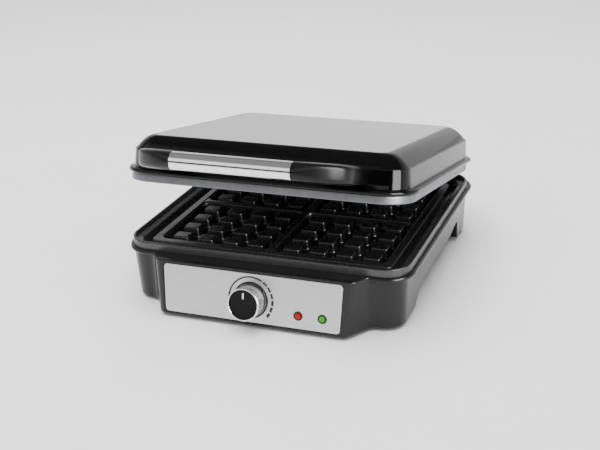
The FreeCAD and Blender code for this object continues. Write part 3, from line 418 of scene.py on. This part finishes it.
MAT["sheet"] = brushed("sheet_steel", (0.62, 0.62, 0.62), "Y", 0.3, 0.42, 0.0, 1.0, 0.05)
MAT["screw"] = simple("screw_steel", (0.52, 0.52, 0.53), 0.3, 1.0, 1800.0, 0.12, 0.1)
MAT["pin"] = simple("pin_steel", (0.58, 0.58, 0.59), 0.22, 1.0, 1400.0, 0.08, 0.05)
MAT["ceramic"] = simple("ceramic", (0.72, 0.70, 0.65), 0.4, 0.0, 1200.0, 0.06, 0.15)
MAT["lead"] = simple("glass_braid", (0.62, 0.61, 0.58), 0.7, 0.0, 2400.0, 0.2, 0.5)
MAT["cord_black"] = satin_black("cord_sheath", (0.02, 0.02, 0.02), 0.45, 0.6, 0.3, 1800.0)
MAT["bimetal"] = simple("thermostat_can", (0.5, 0.49, 0.47), 0.35, 1.0, 700.0, 0.12, 0.1)
MAT["knob_skirt"] = simple("knob_skirt", (0.50, 0.50, 0.51), 0.22, 1.0, 2400.0, 0.12, 0.22)
MAT["chrome"] = simple("chrome_ring", (0.80, 0.80, 0.81), 0.06, 1.0, 900.0, 0.03, 0.01)
MAT["marker"] = simple("white_print", (0.86, 0.86, 0.86), 0.4, 0.0, 1500.0, 0.03, 0.08)
MAT["dial"] = simple("dial_print", (0.004, 0.004, 0.004), 0.42, 0.0, 1800.0, 0.2, 0.12)
MAT["red"] = lens_mat("red_lens", (0.40, 0.0, 0.001), (0.24, 0.0, 0.0005), 0.42)
MAT["green"] = lens_mat("green_lens", (0.03, 0.36, 0.012), (0.01, 0.18, 0.005), 0.42)
MAT["red_rim"] = lens_mat("red_rim", (0.10, 0.0, 0.002), (0.05, 0.0, 0.001), 0.0)
MAT["green_rim"] = lens_mat("green_rim", (0.008, 0.06, 0.006), (0.004, 0.03, 0.003), 0.0)

CAD_LOOK = {
    "base_housing": "base_gloss", "bottom_cover": "cover",
    "cover_screws": "screw", "screw_posts": "cover",
    "front_feet": "rubber", "rear_feet": "rubber", "lower_plate": "nonstick",
    "lower_heating_element": "heater", "lower_element_pins": "pin",
    "lower_reflector": "sheet", "lower_plate_screws": "screw",
    "fascia_plate": "steel_fascia", "dial_scale": "dial",
    "lamp_collars": "collar", "red_lens": "red", "green_lens": "green",
    "thermostat_bracket": "sheet", "thermostat": "bimetal",
    "terminal_block": "ceramic", "thermal_fuse": "pin",
    "cord_gland": "rubber", "mains_lead": "cord_black", "heater_lead": "lead",
    "base_hinge_left": "hinge", "base_hinge_right": "hinge",
    "base_hinge_screws": "screw", "hinge_pins": "pin",
    "lid_housing": "lid_gloss", "lid_top_panel": "steel_top",
    "upper_plate": "plate_wall", "upper_heating_element": "heater",
    "upper_element_pins": "pin", "upper_reflector": "sheet",
    "upper_plate_screws": "screw", "handle_bracket_left": "handle_gloss",
    "handle_bracket_right": "handle_gloss", "handle_tube": "steel_tube",
    "handle_screws": "screw", "lid_hinge_arm_left": "hinge",
    "lid_hinge_arm_right": "hinge", "lid_arm_screws": "screw",
    "knob_body": "knob_skirt", "knob_ring": "chrome", "knob_cap": "knob_black",
    "knob_pointer": "marker", "thermostat_shaft": "pin",
}
SLOTS = {q["node"]: q["material_slot"] for q in frame["record"]["subparts"]}
for name, ob in NODES.items():
    ob.data.materials.clear()
    ob.data.materials.append(MAT[CAD_LOOK[name]])


def slot_of(node):
    return SLOTS.get(node)


# ---------------------------------------------------------------- lid cover
U1 = 8.0
BEAD_OUT, BEAD_H = 3.0, 5.4
LID_RIDGE_Z, LID_TOP_Z = 32.0, 45.0
PANEL_X, PANEL_Y0, PANEL_Y1, PANEL_R = 119.4, 17.5, 252.5, 10.0
NC = 20


def lid_loop(inset, z, r):
    return rr(-W / 2 + inset, W / 2 - inset, inset, REAR - inset, r, NC, z)


def bead_loops(z0, h, out, rear, corner, steps=12):
    """Half-round bead from its lower to its upper edge."""
    rad = h / 2 - 0.02
    zc = z0 + h / 2
    loops = []
    for i in range(steps + 1):
        a = -math.pi / 2 + math.pi * i / steps
        o = out - rad + rad * math.cos(a)
        loops.append(rr(-W / 2 - o, W / 2 + o, -o, rear - out + o, corner + o, NC, zc + (h / 2) * math.sin(a)))
    return loops


lid = Builder()
loops = [lid_loop(7.6, LID_RIDGE_Z - 2.6, 19.4), lid_loop(5.9, U1 + 1.0, 22.0), lid_loop(5.9, U1, 22.0)]
loops += bead_loops(U1, BEAD_H, BEAD_OUT, REAR, R_UP)
w_in = lambda z: 3.3 + (z - (U1 + 1.0)) * 1.7 / (LID_RIDGE_Z - U1 - 1.0)
w_r = lambda z: 24.7 - (z - (U1 + 1.0)) * 2.7 / (LID_RIDGE_Z - U1 - 1.0)
for dz in (0.0, 0.12, 0.35):
    z = U1 + BEAD_H + dz
    fill = (0.35 - dz) / 0.35
    loops.append(lid_loop(w_in(z) - 0.35 * fill * fill, z, w_r(z)))
for z in (18.0, 24.0, LID_RIDGE_Z - 1.4, LID_RIDGE_Z - 0.9):
    loops.append(lid_loop(w_in(z), z, w_r(z)))
rf = 0.8
for i in range(1, 7):
    a = math.radians(90.0 * i / 6)
    loops.append(lid_loop(w_in(LID_RIDGE_Z - rf) + rf * (1 - math.cos(a)), LID_RIDGE_Z - rf + rf * math.sin(a), 22.0 - 0.3 * i / 6))
for i in range(33):
    s = i / 32.0
    x = (W / 2 - 6.5) * (1 - s) + PANEL_X * s
    ya = 6.5 * (1 - s) + PANEL_Y0 * s
    yb = (REAR - 6.5) * (1 - s) + PANEL_Y1 * s
    r = 20.5 * (1 - s) + PANEL_R * s
    z = LID_RIDGE_Z + (LID_TOP_Z - LID_RIDGE_Z) * (1 - (1 - s) ** 2)
    loops.append(rr(-x, x, ya, yb, r, NC, z))
for d, dz in ((0.15, 0.04), (0.26, 0.14), (0.30, 0.3), (0.30, 0.8)):
    loops.append(rr(-PANEL_X + d, PANEL_X - d, PANEL_Y0 + d, PANEL_Y1 - d, PANEL_R - d, NC, LID_TOP_Z - dz))
lid.sweep(loops, 0, cap0=False, cap1=True)
# inner skin over the heater
lid.sweep([lid_loop(7.6, LID_RIDGE_Z - 2.6, 19.4),
           rr(-130, 130, 14.5, REAR - 15.5, 14, NC, LID_RIDGE_Z + 5.0),
           rr(-118, 118, PANEL_Y0 + 1, PANEL_Y1 - 1, 9, NC, LID_RIDGE_Z + 9.0)], 0, cap1=True, flip=True)
lid_piece = lid.make("lid_shell", M_LID, [MAT["lid_gloss"]], "lid", 38.0, weld=0.005, slot=slot_of("lid_housing"))
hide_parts("lid_housing")

panel = Builder()
loops = []
for d, z in ((0.0, LID_TOP_Z - 0.8), (0.0, LID_TOP_Z - 0.2), (0.05, LID_TOP_Z - 0.08), (0.14, LID_TOP_Z + 0.01), (0.28, LID_TOP_Z + 0.05),
             (0.6, LID_TOP_Z + 0.05)):
    g = 0.45 + d
    loops.append(rr(-PANEL_X + g, PANEL_X - g, PANEL_Y0 + g, PANEL_Y1 - g, PANEL_R - g, NC, z))
panel.sweep(loops, 0, cap0=True, cap1=True)
panel_piece = panel.make("steel_top_panel", M_LID, [MAT["steel_top"]], "lid", 30.0, slot=slot_of("lid_top_panel"))
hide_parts("lid_top_panel")

# ---------------------------------------------------------------- waffle plates
WELL_IN, WELL_GAP, WELL_FLOOR = 27.5, 6.0, -17.0
RIDGE_Z, PEG_TOP, PEG_N = -5.9, -7.0, 4
WX = (W - 2 * WELL_IN - WELL_GAP) / 2
WY = (D - 2 * WELL_IN - WELL_GAP) / 2
PX, PY = (WX - 5.0) / PEG_N, (WY - 5.0) / PEG_N
UP_CEIL, U0, SKIRT_Z = 10.5, 0.5, -3.6


def slope_profile(d, top, floor, slope, rt, rb):
    """Height at distance d outside the top outline of a block with rounded edge and root."""
    th = math.atan(slope)
    tt, tb = rt * math.tan(th / 2), rb * math.tan(th / 2)
    foot = (top - floor) / slope
    if d <= -tt:
        return top
    if d < tt * math.cos(th):
        return top - rt + math.sqrt(max(0.0, rt * rt - (d + tt) ** 2))
    if d < foot - tb * math.cos(th):
        return top - slope * d
    if d < foot + tb:
        return floor + rb - math.sqrt(max(0.0, rb * rb - (d - foot - tb) ** 2))
    return floor


def sd_rr(x, y, cx, cy, hx, hy, r):
    qx, qy = abs(x - cx) - (hx - r), abs(y - cy) - (hy - r)
    return math.hypot(max(qx, 0), max(qy, 0)) + min(max(qx, qy), 0.0) - r


def wells():
    for ix in (0, 1):
        for iy in (0, 1):
            x0 = -W / 2 + WELL_IN + ix * (WX + WELL_GAP)
            y0 = WELL_IN + iy * (WY + WELL_GAP)
            yield x0 + WX / 2, y0 + WY / 2


WELL_C = list(wells())


def plate_height(x, y, rim, floor, peg_top, wall_slope, grow):
    """Height field of one plate with up = open side: rim level, well floor and peg tops given."""
    cx, cy = min(WELL_C, key=lambda c: (c[0] - x) ** 2 + (c[1] - y) ** 2)
    hx, hy = WX / 2 + grow, WY / 2 + grow
    d_in = -sd_rr(x, y, cx, cy, hx, hy, 6.0)
    h = slope_profile(d_in, rim, floor, wall_slope, 1.3, 1.8)
    gx = round((x - cx) / PX + (PEG_N - 1) / 2)
    gy = round((y - cy) / PY + (PEG_N - 1) / 2)
    if 0 <= gx < PEG_N and 0 <= gy < PEG_N:
        px, py = cx + (gx - (PEG_N - 1) / 2) * PX, cy + (gy - (PEG_N - 1) / 2) * PY
        ax, ay = PX / 2 - 3.6 - 2.0, PY / 2 - 3.6 - 2.0
        d = sd_rr(x, y, px, py, ax, ay, 1.9)
        h = max(h, slope_profile(d, peg_top, floor, 5.25, 1.3, 1.8))
    return h


def well_lines(lo, hi, centres, half, pitch, peg_half, steep):
    s = {lo, hi}
    for c in centres:
        for sg in (-1, 1):
            e = c + sg * half
            for t in (-1.6, -1.15, -0.7, -0.35, -0.05, 0.2, 0.7, 1.2, steep, steep + 0.4, steep + 0.9, steep + 1.5, steep + 2.2):
                s.add(e - sg * t)
        for i in range(PEG_N):
            p = c + (i - (PEG_N - 1) / 2) * pitch
            s.add(p)
            for sg in (-1, 1):
                for t in (-4.2, -2.6, -1.6, -1.15, -0.7, -0.35, -0.05, 0.2, 0.6, 1.1, 1.6, 1.95, 2.35, 2.8, 3.4):
                    s.add(p + sg * (peg_half + t))
    out = []
    for v in sorted(s):
        if lo - 1e-6 <= v <= hi + 1e-6 and (not out or v - out[-1] > 0.08):
            out.append(v)
    return out


def plate_grid(b, inset, rim, floor, peg_top, wall_slope, grow, sign, mat):
    xs = well_lines(-W / 2 + inset, W / 2 - inset, sorted({c[0] for c in WELL_C}), WX / 2 + grow, PX, PX / 2 - 5.6,
                    (rim - floor) / wall_slope)
    ys = well_lines(inset, D - inset, sorted({c[1] for c in WELL_C}), WY / 2 + grow, PY, PY / 2 - 5.6,
                    (rim - floor) / wall_slope)
    b.grid(xs, ys, lambda x, y: sign * plate_height(x, y, rim, floor, peg_top, wall_slope, grow), mat, flip=sign < 0)


low = Builder()
loops, mats = [], []


def add(inset, z, r=None, m=0, corner=R_LOW):
    loops.append(inset_loop(inset, z, r, corner, NC))
    mats.append(m)


# hidden inner lip, land, gutter, rim, outer wall and underside
add(27.05, -7.0, 6.3)
add(26.75, -6.4, 6.5)
add(26.35, RIDGE_Z - 0.16, 6.7)
add(25.8, RIDGE_Z - 0.03, 7.0)
add(25.0, RIDGE_Z, 7.2)
add(20.3, RIDGE_Z, 7.4)
for i in range(0, 9):
    a = math.radians(76.0 * i / 8)
    add(19.55 - 1.1 * math.sin(a), RIDGE_Z - 1.1 * (1 - math.cos(a)), 7.5 + 0.2 * i / 8)
add(17.4, -10.2, 8.6)
add(16.75, -12.6, 9.4)
add(16.4, -13.15, 9.7)
add(15.7, -13.4, 10.0)
add(13.6, -13.4, 11.4)
add(12.9, -13.1, 12.1)
add(12.4, -12.4, 12.6)
add(9.9, -6.2, 15.1)
add(9.5, -5.65, 15.5)
add(8.8, -5.38, 16.2)
add(4.6, -4.15, 20.4)
add(3.8, -3.85, 21.2)
add(3.4, -3.4, 21.6)
add(2.75, -0.9)
for i in range(5):
    a = math.radians(90.0 * i / 4)
    add(2.3 + 0.32 * (1 - math.sin(a)), -0.32 * (1 - math.sin(a)))
for i in range(8):
    a = math.radians(90.0 * i / 7)
    add(0.9 - 0.9 * math.sin(a), -0.9 + 0.9 * math.cos(a))
WALL0 = len(loops)
add(0.0, -3.0, None, 1)
add(0.0, -7.0, None, 1)
add(0.0, -7.7, None, 1)
add(7.0, -7.7, 18.0)
add(7.0, -16.6, 18.0)
add(21.0, -16.6, 8.0)
add(21.0, -20.0, 8.0)
for i in range(WALL0 - 1, WALL0 + 2):
    mats[i] = 1
low.sweep(loops, mats, cap0=False, cap1=True, flip=False)
plate_grid(low, 26.3, -6.4, WELL_FLOOR, PEG_TOP, 5.7, 0.0, 1, 0)
for bx, by in ((-62, 66), (62, 66), (-62, 198), (62, 198)):
    ring = [[Vector((bx + p.x, by + p.y, p.z)) for p in circle(r, z, 32)] for r, z in ((2.0, -21.5), (2.0, -29.0), (4.6, -29.0), (5.0, -28.6), (5.0, -19.9))]
    low.sweep(ring, 0, cap0=True, flip=True)
low_piece = low.make("waffle_plate_lower", M_BASE, [MAT["nonstick"], MAT["plate_wall_dark"]], "base", 34.0, slot=slot_of("lower_plate"))
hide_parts("lower_plate")

upp = Builder()
loops, mats = [], []
UC = {"corner": R_UP}
add(27.0, SKIRT_Z + 0.6, 6.2)
add(26.7, SKIRT_Z + 0.08, 6.3)
add(26.2, SKIRT_Z, 6.5)
add(21.6, SKIRT_Z, 7.0)
for i in range(6):
    a = math.radians(73.0 * i / 5)
    add(21.25 - 0.8 * math.sin(a), SKIRT_Z + 0.8 * (1 - math.cos(a)), 7.2)
add(18.2, 3.6, 9.6)
add(17.7, 4.3, 10.0)
add(17.0, 4.5, 14.0)
add(4.6, 4.5, 26.4)
add(3.9, 4.3, 27.1)
add(3.5, 3.8, 27.5)
add(2.75, 1.4, **UC)
for i in range(5):
    a = math.radians(90.0 * i / 4)
    add(2.3 + 0.32 * (1 - math.sin(a)), 0.5 + 0.32 * (1 - math.sin(a)), **UC)
for i in range(8):
    a = math.radians(90.0 * i / 7)
    add(0.9 - 0.9 * math.sin(a), 1.4 - 0.9 * math.cos(a), **UC)
WALL0 = len(loops)
add(0.0, 3.0, None, 1, R_UP)
add(0.0, 6.0, None, 1, R_UP)
add(0.0, 7.4, None, 1, R_UP)
add(0.15, 7.85, None, 1, R_UP)
add(0.5, 8.0, None, 1, R_UP)
add(12.0, 8.0, 19.0)
add(12.0, 13.5, 19.0)
for i in range(WALL0 - 8, WALL0 + 4):
    mats[i] = 1
upp.sweep(loops, mats, cap0=False, cap1=True, flip=True)
plate_grid(upp, 26.3, -SKIRT_Z, -UP_CEIL, -U0, 7.35, 0.32, -1, 0)
for bx, by in ((-62, 66), (62, 66), (-62, 198), (62, 198)):
    ring = [[Vector((bx + p.x, by + p.y, p.z)) for p in circle(r, z, 32)] for r, z in ((2.0, 15.0), (2.0, 22.5), (4.6, 22.5), (5.0, 22.1), (5.0, 13.4))]
    upp.sweep(ring, 0, cap0=True)
upp_piece = upp.make("waffle_plate_upper", M_LID, [MAT["nonstick"], MAT["plate_wall"]], "lid", 34.0, slot=slot_of("upper_plate"))
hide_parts("upper_plate")


# ---------------------------------------------------------------- knob, lamps
def lathe(b, prof, mat=0, n=128, cap0=True, cap1=True, centre=(0, 0)):
    """prof: (radius, height) pairs from the bottom to the top."""
    loops = [[Vector((centre[0] + p.x, centre[1] + p.y, p.z)) for p in circle(max(r, 0.001), z, n)] for r, z in prof]
    b.sweep(loops, mat, cap0, cap1)


def arc(cx, cz, r, a0, a1, n):
    return [(cx + r * math.cos(math.radians(a0 + (a1 - a0) * i / n)), cz + r * math.sin(math.radians(a0 + (a1 - a0) * i / n)))
            for i in range(n + 1)]


KNOB_R, KNOB_L, K0 = 16.0, 18.4, 0.55
CAP_R = 14.45
KTOP = KNOB_L - 2.6
skirt = Builder()
SK_R = KNOB_R - 0.3
prof = [(3.02, K0), (14.6, K0)] + arc(SK_R - 0.5, K0 + 0.5, 0.5, -90, 0, 6) + \
    [(SK_R, 4.0), (SK_R, 8.0), (SK_R, 12.0), (SK_R, KTOP - 0.8), (SK_R - 0.45, KTOP - 0.55), (SK_R - 0.45, KTOP - 0.05), (13.7, KTOP)]
lathe(skirt, prof, 0, 192)
skirt_piece = skirt.make("knob_skirt", M_KNOB, [MAT["knob_skirt"]], "knob", 34.0, slot=slot_of("knob_body"))
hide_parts("knob_body")

ring = Builder()
prof = [(CAP_R + 0.01, KTOP + 0.02), (KNOB_R - 0.3, KTOP + 0.02)] + arc(KNOB_R - 0.3, KTOP + 0.32, 0.3, -90, 0, 4) + \
    arc(KNOB_R - 0.85, KNOB_L - 0.85, 0.85, 0, 90, 12) + arc(CAP_R + 0.61, KNOB_L - 0.6, 0.6, 90, 180, 10) + [(CAP_R + 0.01, KTOP + 1.6)]
lathe(ring, prof + [(CAP_R + 0.01, KTOP + 0.02)], 0, 192, False, False)
ring_piece = ring.make("knob_bright_ring", M_KNOB, [MAT["chrome"]], "knob", 40.0, weld=0.003, slot=slot_of("knob_ring"))
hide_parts("knob_ring")

cap = Builder()
prof = [(CAP_R, KTOP + 0.03), (CAP_R, KTOP + 1.55)] + arc(CAP_R - 0.35, KTOP + 1.62, 0.35, 0, 90, 5) + \
    [(CAP_R - 0.9, KTOP + 1.93), (CAP_R - 1.3, KTOP + 1.86), (8.0, KTOP + 1.84), (0.0, KTOP + 1.84)]
lathe(cap, prof, 0, 160)
cap_piece = cap.make("knob_face", M_KNOB, [MAT["knob_black"]], "knob", 34.0, slot=slot_of("knob_cap"))
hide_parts("knob_cap")

mark = Builder()
loops = []
for g, z in ((0.0, KTOP + 1.80), (0.0, KTOP + 2.02), (0.05, KTOP + 2.08), (0.16, KTOP + 2.12)):
    loops.append(rr(-0.78 + g, 0.78 - g, 5.6 + g, 11.2 - g, 0.5 - g, 6, z))
mark.sweep(loops, 0, cap0=True, cap1=True)
mark_piece = mark.make("knob_mark", M_KNOB, [MAT["marker"]], "knob", 40.0, slot=slot_of("knob_pointer"))
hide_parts("knob_pointer")

# printed dial: the arc, the dashes that grow, and the black line round the knob's foot
dial_ob = NODES["dial_scale"]
_inv = M_PANEL.inverted() @ dial_ob.matrix_world
dz = [(_inv @ v.co).z * 1000 for v in dial_ob.data.vertices]
DW0, DW1 = min(dz), max(dz)
dial = Builder()


def sector(b, r0, r1, a0, a1, z0, z1):
    n = max(4, int(abs(a1 - a0) / 3))
    closed = abs(a1 - a0) >= 359.9
    ring = []
    for i in range(n if closed else n + 1):
        t = math.radians(90 - (a0 + (a1 - a0) * i / n))
        c, q = math.cos(t), math.sin(t)
        ring.append([Vector((r0 * c, r0 * q, z0)), Vector((r1 * c, r1 * q, z0)),
                     Vector((r1 * c, r1 * q, z1)), Vector((r0 * c, r0 * q, z1))])
    b.sweep(ring, 0, cap0=not closed, cap1=not closed, closed=closed)


sector(dial, 15.9, 17.9, 0, 360, DW0, DW1)
sector(dial, 21.65, 23.2, -88, 30, DW0, DW1)
for k, (a0, a1) in enumerate(((34, 47), (51, 64), (68, 81), (85, 98), (102, 115), (119, 131))):
    t = 0.85 + 0.12 * k
    sector(dial, 22.4 - t, 22.4 + t, a0, a1, DW0, DW1)
dial_piece = dial.make("dial_print", M_PANEL, [MAT["dial"]], "base", 30.0, slot=slot_of("dial_scale"))
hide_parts("dial_scale")

# lamp lenses: domed, with a moulded flat round the foot; KV puts the panel's
# lamp positions into the knob frame
KV = -1.8
for node, u in (("red_lens", 48.4), ("green_lens", 72.4)):
    b = Builder()
    c = (u, -11.2 - KV)
    prof = [(3.9, -6.8), (3.9, -0.25)] + arc(3.9 - 0.25, -0.25, 0.25, 0, 60, 4)
    hgt = 1.3
    Rd = (3.6 ** 2 + hgt ** 2) / (2 * hgt)
    a_max = math.degrees(math.asin(3.6 / Rd))
    for i in range(1, 13):
        a = math.radians(a_max * (1 - i / 12.0))
        prof.append((Rd * math.sin(a), -0.1 + hgt - Rd + Rd * math.cos(a)))
    key = "red" if "red" in node else "green"
    rim = [1 if max(prof[i][0], prof[i + 1][0]) > 3.05 else 0 for i in range(len(prof) - 1)] + [0]
    lathe(b, prof, rim, 72, True, True, c)
    piece = b.make(node + "_dome", M_PANEL, [MAT[key], MAT[key + "_rim"]], "base", 40.0, slot=slot_of(node))
    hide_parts(node)

# ---------------------------------------------------------------- handle tube
tube = Builder()
R_T, TY, TZ, TL = 8.75, -57.0, 33.8, 59.7


def x_ring(x, r, n=128):
    return [Vector((x, TY + r * math.cos(2 * math.pi * i / n), TZ + r * math.sin(2 * math.pi * i / n))) for i in range(n)]


xs = [-TL, -TL + 0.3] + [-TL + 2 * TL * k / 12 for k in range(1, 12)] + [TL - 0.3, TL]
outer = [x_ring(x, R_T - (0.3 if abs(abs(x) - TL) < 1e-6 else 0.0)) for x in xs]
inner = [x_ring(x, R_T - 0.9) for x in reversed(xs)]
tube.sweep(outer + inner, 0, closed=True)
tube_piece = tube.make("handle_bar", M_LID, [MAT["steel_tube"]], "lid", 34.0, slot=slot_of("handle_tube"))
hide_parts("handle_tube")

# ---------------------------------------------------------------- handle brackets
def catmull(pts, t):
    """Point at t in 0..1 of a smooth curve through pts."""
    n = len(pts) - 1
    k = min(int(t * n), n - 1)
    u = t * n - k
    p = [pts[max(0, min(n, k + d))] for d in (-1, 0, 1, 2)]
    return tuple(0.5 * (2 * p[1][c] + (p[2][c] - p[0][c]) * u + (2 * p[0][c] - 5 * p[1][c] + 4 * p[2][c] - p[3][c]) * u * u
                        + (3 * p[1][c] - p[0][c] - 3 * p[2][c] + p[3][c]) * u ** 3) for c in range(2))


def interp(v, table):
    for (a, fa), (b, fb) in zip(table, table[1:]):
        if v <= b:
            return fa + (fb - fa) * max(0.0, (v - a) / (b - a))
    return table[-1][1]


INNER = [(58.5, -47.75), (62.0, -42.5), (65.0, -36.5), (67.5, -28.0), (68.4, -16.0), (65.5, -4.0), (60.4, 6.4)]
OUTER = [(58.5, -66.1), (69.0, -62.9), (82.0, -57.2), (95.5, -48.4), (103.6, -38.0), (106.0, -23.0), (107.4, 6.4)]
Z_LO = [(-70.0, 24.9), (-57.0, 24.9), (-38.0, 21.9), (2.0, 16.2), (12.0, 14.6)]
Z_HI = [(-70.0, 42.6), (-57.0, 42.7), (-38.0, 40.2), (2.0, 34.0), (12.0, 32.6)]


def bracket(side, node):
    b = Builder()
    n, steps = 72, 40
    loops = []
    for k in range(steps + 1):
        t = k / steps
        pi, po = catmull(INNER, t), catmull(OUTER, t)
        q = min(1.0, t / 0.5)
        e = 2.0 + 3.6 * (3 * q * q - 2 * q ** 3)
        lp = []
        for i in range(n):
            a = 2 * math.pi * i / n
            ca, sa = math.cos(a), math.sin(a)
            s = math.copysign(abs(ca) ** (2 / e), ca)
            h = math.copysign(abs(sa) ** (2 / e), sa)
            x = (pi[0] + po[0]) / 2 + (po[0] - pi[0]) / 2 * s
            y = (pi[1] + po[1]) / 2 + (po[1] - pi[1]) / 2 * s
            lo, hi = interp(y, Z_LO), interp(y, Z_HI)
            lp.append(Vector((x, y, (lo + hi) / 2 + (hi - lo) / 2 * h)))
        loops.append(lp)
    # a small rounded end where the tube goes in
    first = loops[0]
    c = Vector((58.5, TY, TZ))
    pre = []
    for g, dx in ((1.1, -0.55), (0.7, -0.52), (0.3, -0.38), (0.08, -0.18)):
        pre.append([c + (p - c) * ((9.15 - g) / 9.15) + Vector((dx, 0, 0)) for p in first])
    hole = [c + (p - c) * (R_T + 0.03) / 9.15 * 1.0 + Vector((1.5, 0, 0)) for p in first]
    loops = [hole, [q + Vector((-1.9, 0, 0)) for q in hole]] + pre[1:] + loops
    if side < 0:
        loops = [[Vector((-p.x, p.y, p.z)) for p in lp] for lp in loops]
    b.sweep(loops, 0, cap0=True, cap1=True, flip=side > 0)
    piece = b.make(node + "_shell", M_LID, [MAT["handle_gloss"]], "lid", 40.0, slot=slot_of(node))
    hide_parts(node)
    return piece


bracket(-1, "handle_bracket_left")
bracket(1, "handle_bracket_right")

# ---------------------------------------------------------------- light, floor
scene = bpy.context.scene
fm, fnt, fb = new_mat("studio_sweep")
fv = coords(fnt)
fn = noise_tex(fnt, fv, 6.0, 3.0, 0.5)
fnt.links.new(ramp(fnt, fn, [(0.3, (0.90, 0.90, 0.90)), (0.7, (0.925, 0.925, 0.925))]), fb.inputs["Base Color"])
fb.inputs["Roughness"].default_value = 0.9
fb.inputs["Specular IOR Level"].default_value = 0.1
fme = bpy.data.meshes.new("studio_floor")
S = 14.0
fme.from_pydata([(-S, -S, 0), (S, -S, 0), (S, S, 0), (-S, S, 0)], [], [(0, 1, 2, 3)])
fme.materials.append(fm)
floor = bpy.data.objects.new("studio_floor", fme)
scene.collection.objects.link(floor)

world = bpy.data.worlds.new("studio")
scene.world = world
world.use_nodes = True
wnt = world.node_tree
wnt.nodes.clear()
wo = wnt.nodes.new("ShaderNodeOutputWorld")
wb = wnt.nodes.new("ShaderNodeBackground")
wnt.links.new(wb.outputs[0], wo.inputs[0])
tc = wnt.nodes.new("ShaderNodeTexCoord")
sp = wnt.nodes.new("ShaderNodeSeparateXYZ")
wnt.links.new(tc.outputs["Generated"], sp.inputs[0])
X, Y, Z = sp.outputs["X"], sp.outputs["Y"], sp.outputs["Z"]
front = math_node(wnt, "MULTIPLY", maprange(wnt, Z, 0.23, 0.29, 0.0, 1.0), maprange(wnt, Z, 0.62, 0.80, 1.0, 0.0))
front = math_node(wnt, "MULTIPLY", front, maprange(wnt, Y, -0.25, 0.05, 1.5, 0.0))
rear = math_node(wnt, "MULTIPLY", maprange(wnt, Y, -0.10, 0.30, 0.0, 1.0), maprange(wnt, Z, 0.45, 0.72, 1.0, 0.0))
over = maprange(wnt, Z, 0.55, 0.85, 0.0, 0.26)
lit = math_node(wnt, "MAXIMUM", math_node(wnt, "MAXIMUM", front, rear), over)
side = maprange(wnt, math_node(wnt, "ABSOLUTE", X), 0.80, 0.95, 0.0, 0.25)
wcol = ramp(wnt, math_node(wnt, "DIVIDE", math_node(wnt, "MAXIMUM", lit, side), 1.5), [(0.0, 0.03), (1.0, 1.5)])
wnt.links.new(wcol, wb.inputs["Color"])
wb.inputs["Strength"].default_value = 1.0


def area(name, loc, target, sx, sy, power, col=(1, 1, 1), glossy=True, diffuse=True):
    l = bpy.data.lights.new(name, "AREA")
    l.shape = "RECTANGLE"
    l.size, l.size_y = sx, sy
    l.energy = power
    l.color = col
    o = bpy.data.objects.new(name, l)
    scene.collection.objects.link(o)
    o.location = loc
    o.rotation_euler = (Vector(target) - Vector(loc)).to_track_quat("-Z", "Y").to_euler()
    o.visible_glossy = glossy
    o.visible_diffuse = diffuse
    return o


area("key_top", (-0.2, -0.2, 2.4), (0, 0, 0.1), 3.0, 2.6, 150.0, glossy=False)
area("softbox_right", (1.10, -0.60, 0.50), (0, -0.02, 0.12), 0.80, 0.90, 42.0, diffuse=False)

# ---------------------------------------------------------------- camera
cam_data = bpy.data.cameras.new("camera")
cam_data.lens = 65.70773
cam_data.sensor_width = 36.0
cam_data.clip_start = 0.01
cam_data.clip_end = 100.0
cam = bpy.data.objects.new("camera", cam_data)
scene.collection.objects.link(cam)
yaw, pitch, roll = (math.radians(v) for v in (22.225229, 22.948069, -2.918569))
back_v = Vector((math.sin(yaw) * math.cos(pitch), -math.cos(yaw) * math.cos(pitch), math.sin(pitch)))
right_v = Vector((math.cos(yaw), math.sin(yaw), 0.0))
up_v = back_v.cross(right_v)
rr_v = math.cos(roll) * right_v + math.sin(roll) * up_v
ru_v = -math.sin(roll) * right_v + math.cos(roll) * up_v
cam.matrix_world = Matrix(((rr_v.x, ru_v.x, back_v.x, 0.397034), (rr_v.y, ru_v.y, back_v.y, -0.990025),
                           (rr_v.z, ru_v.z, back_v.z, 0.494607), (0, 0, 0, 1)))
scene.camera = cam
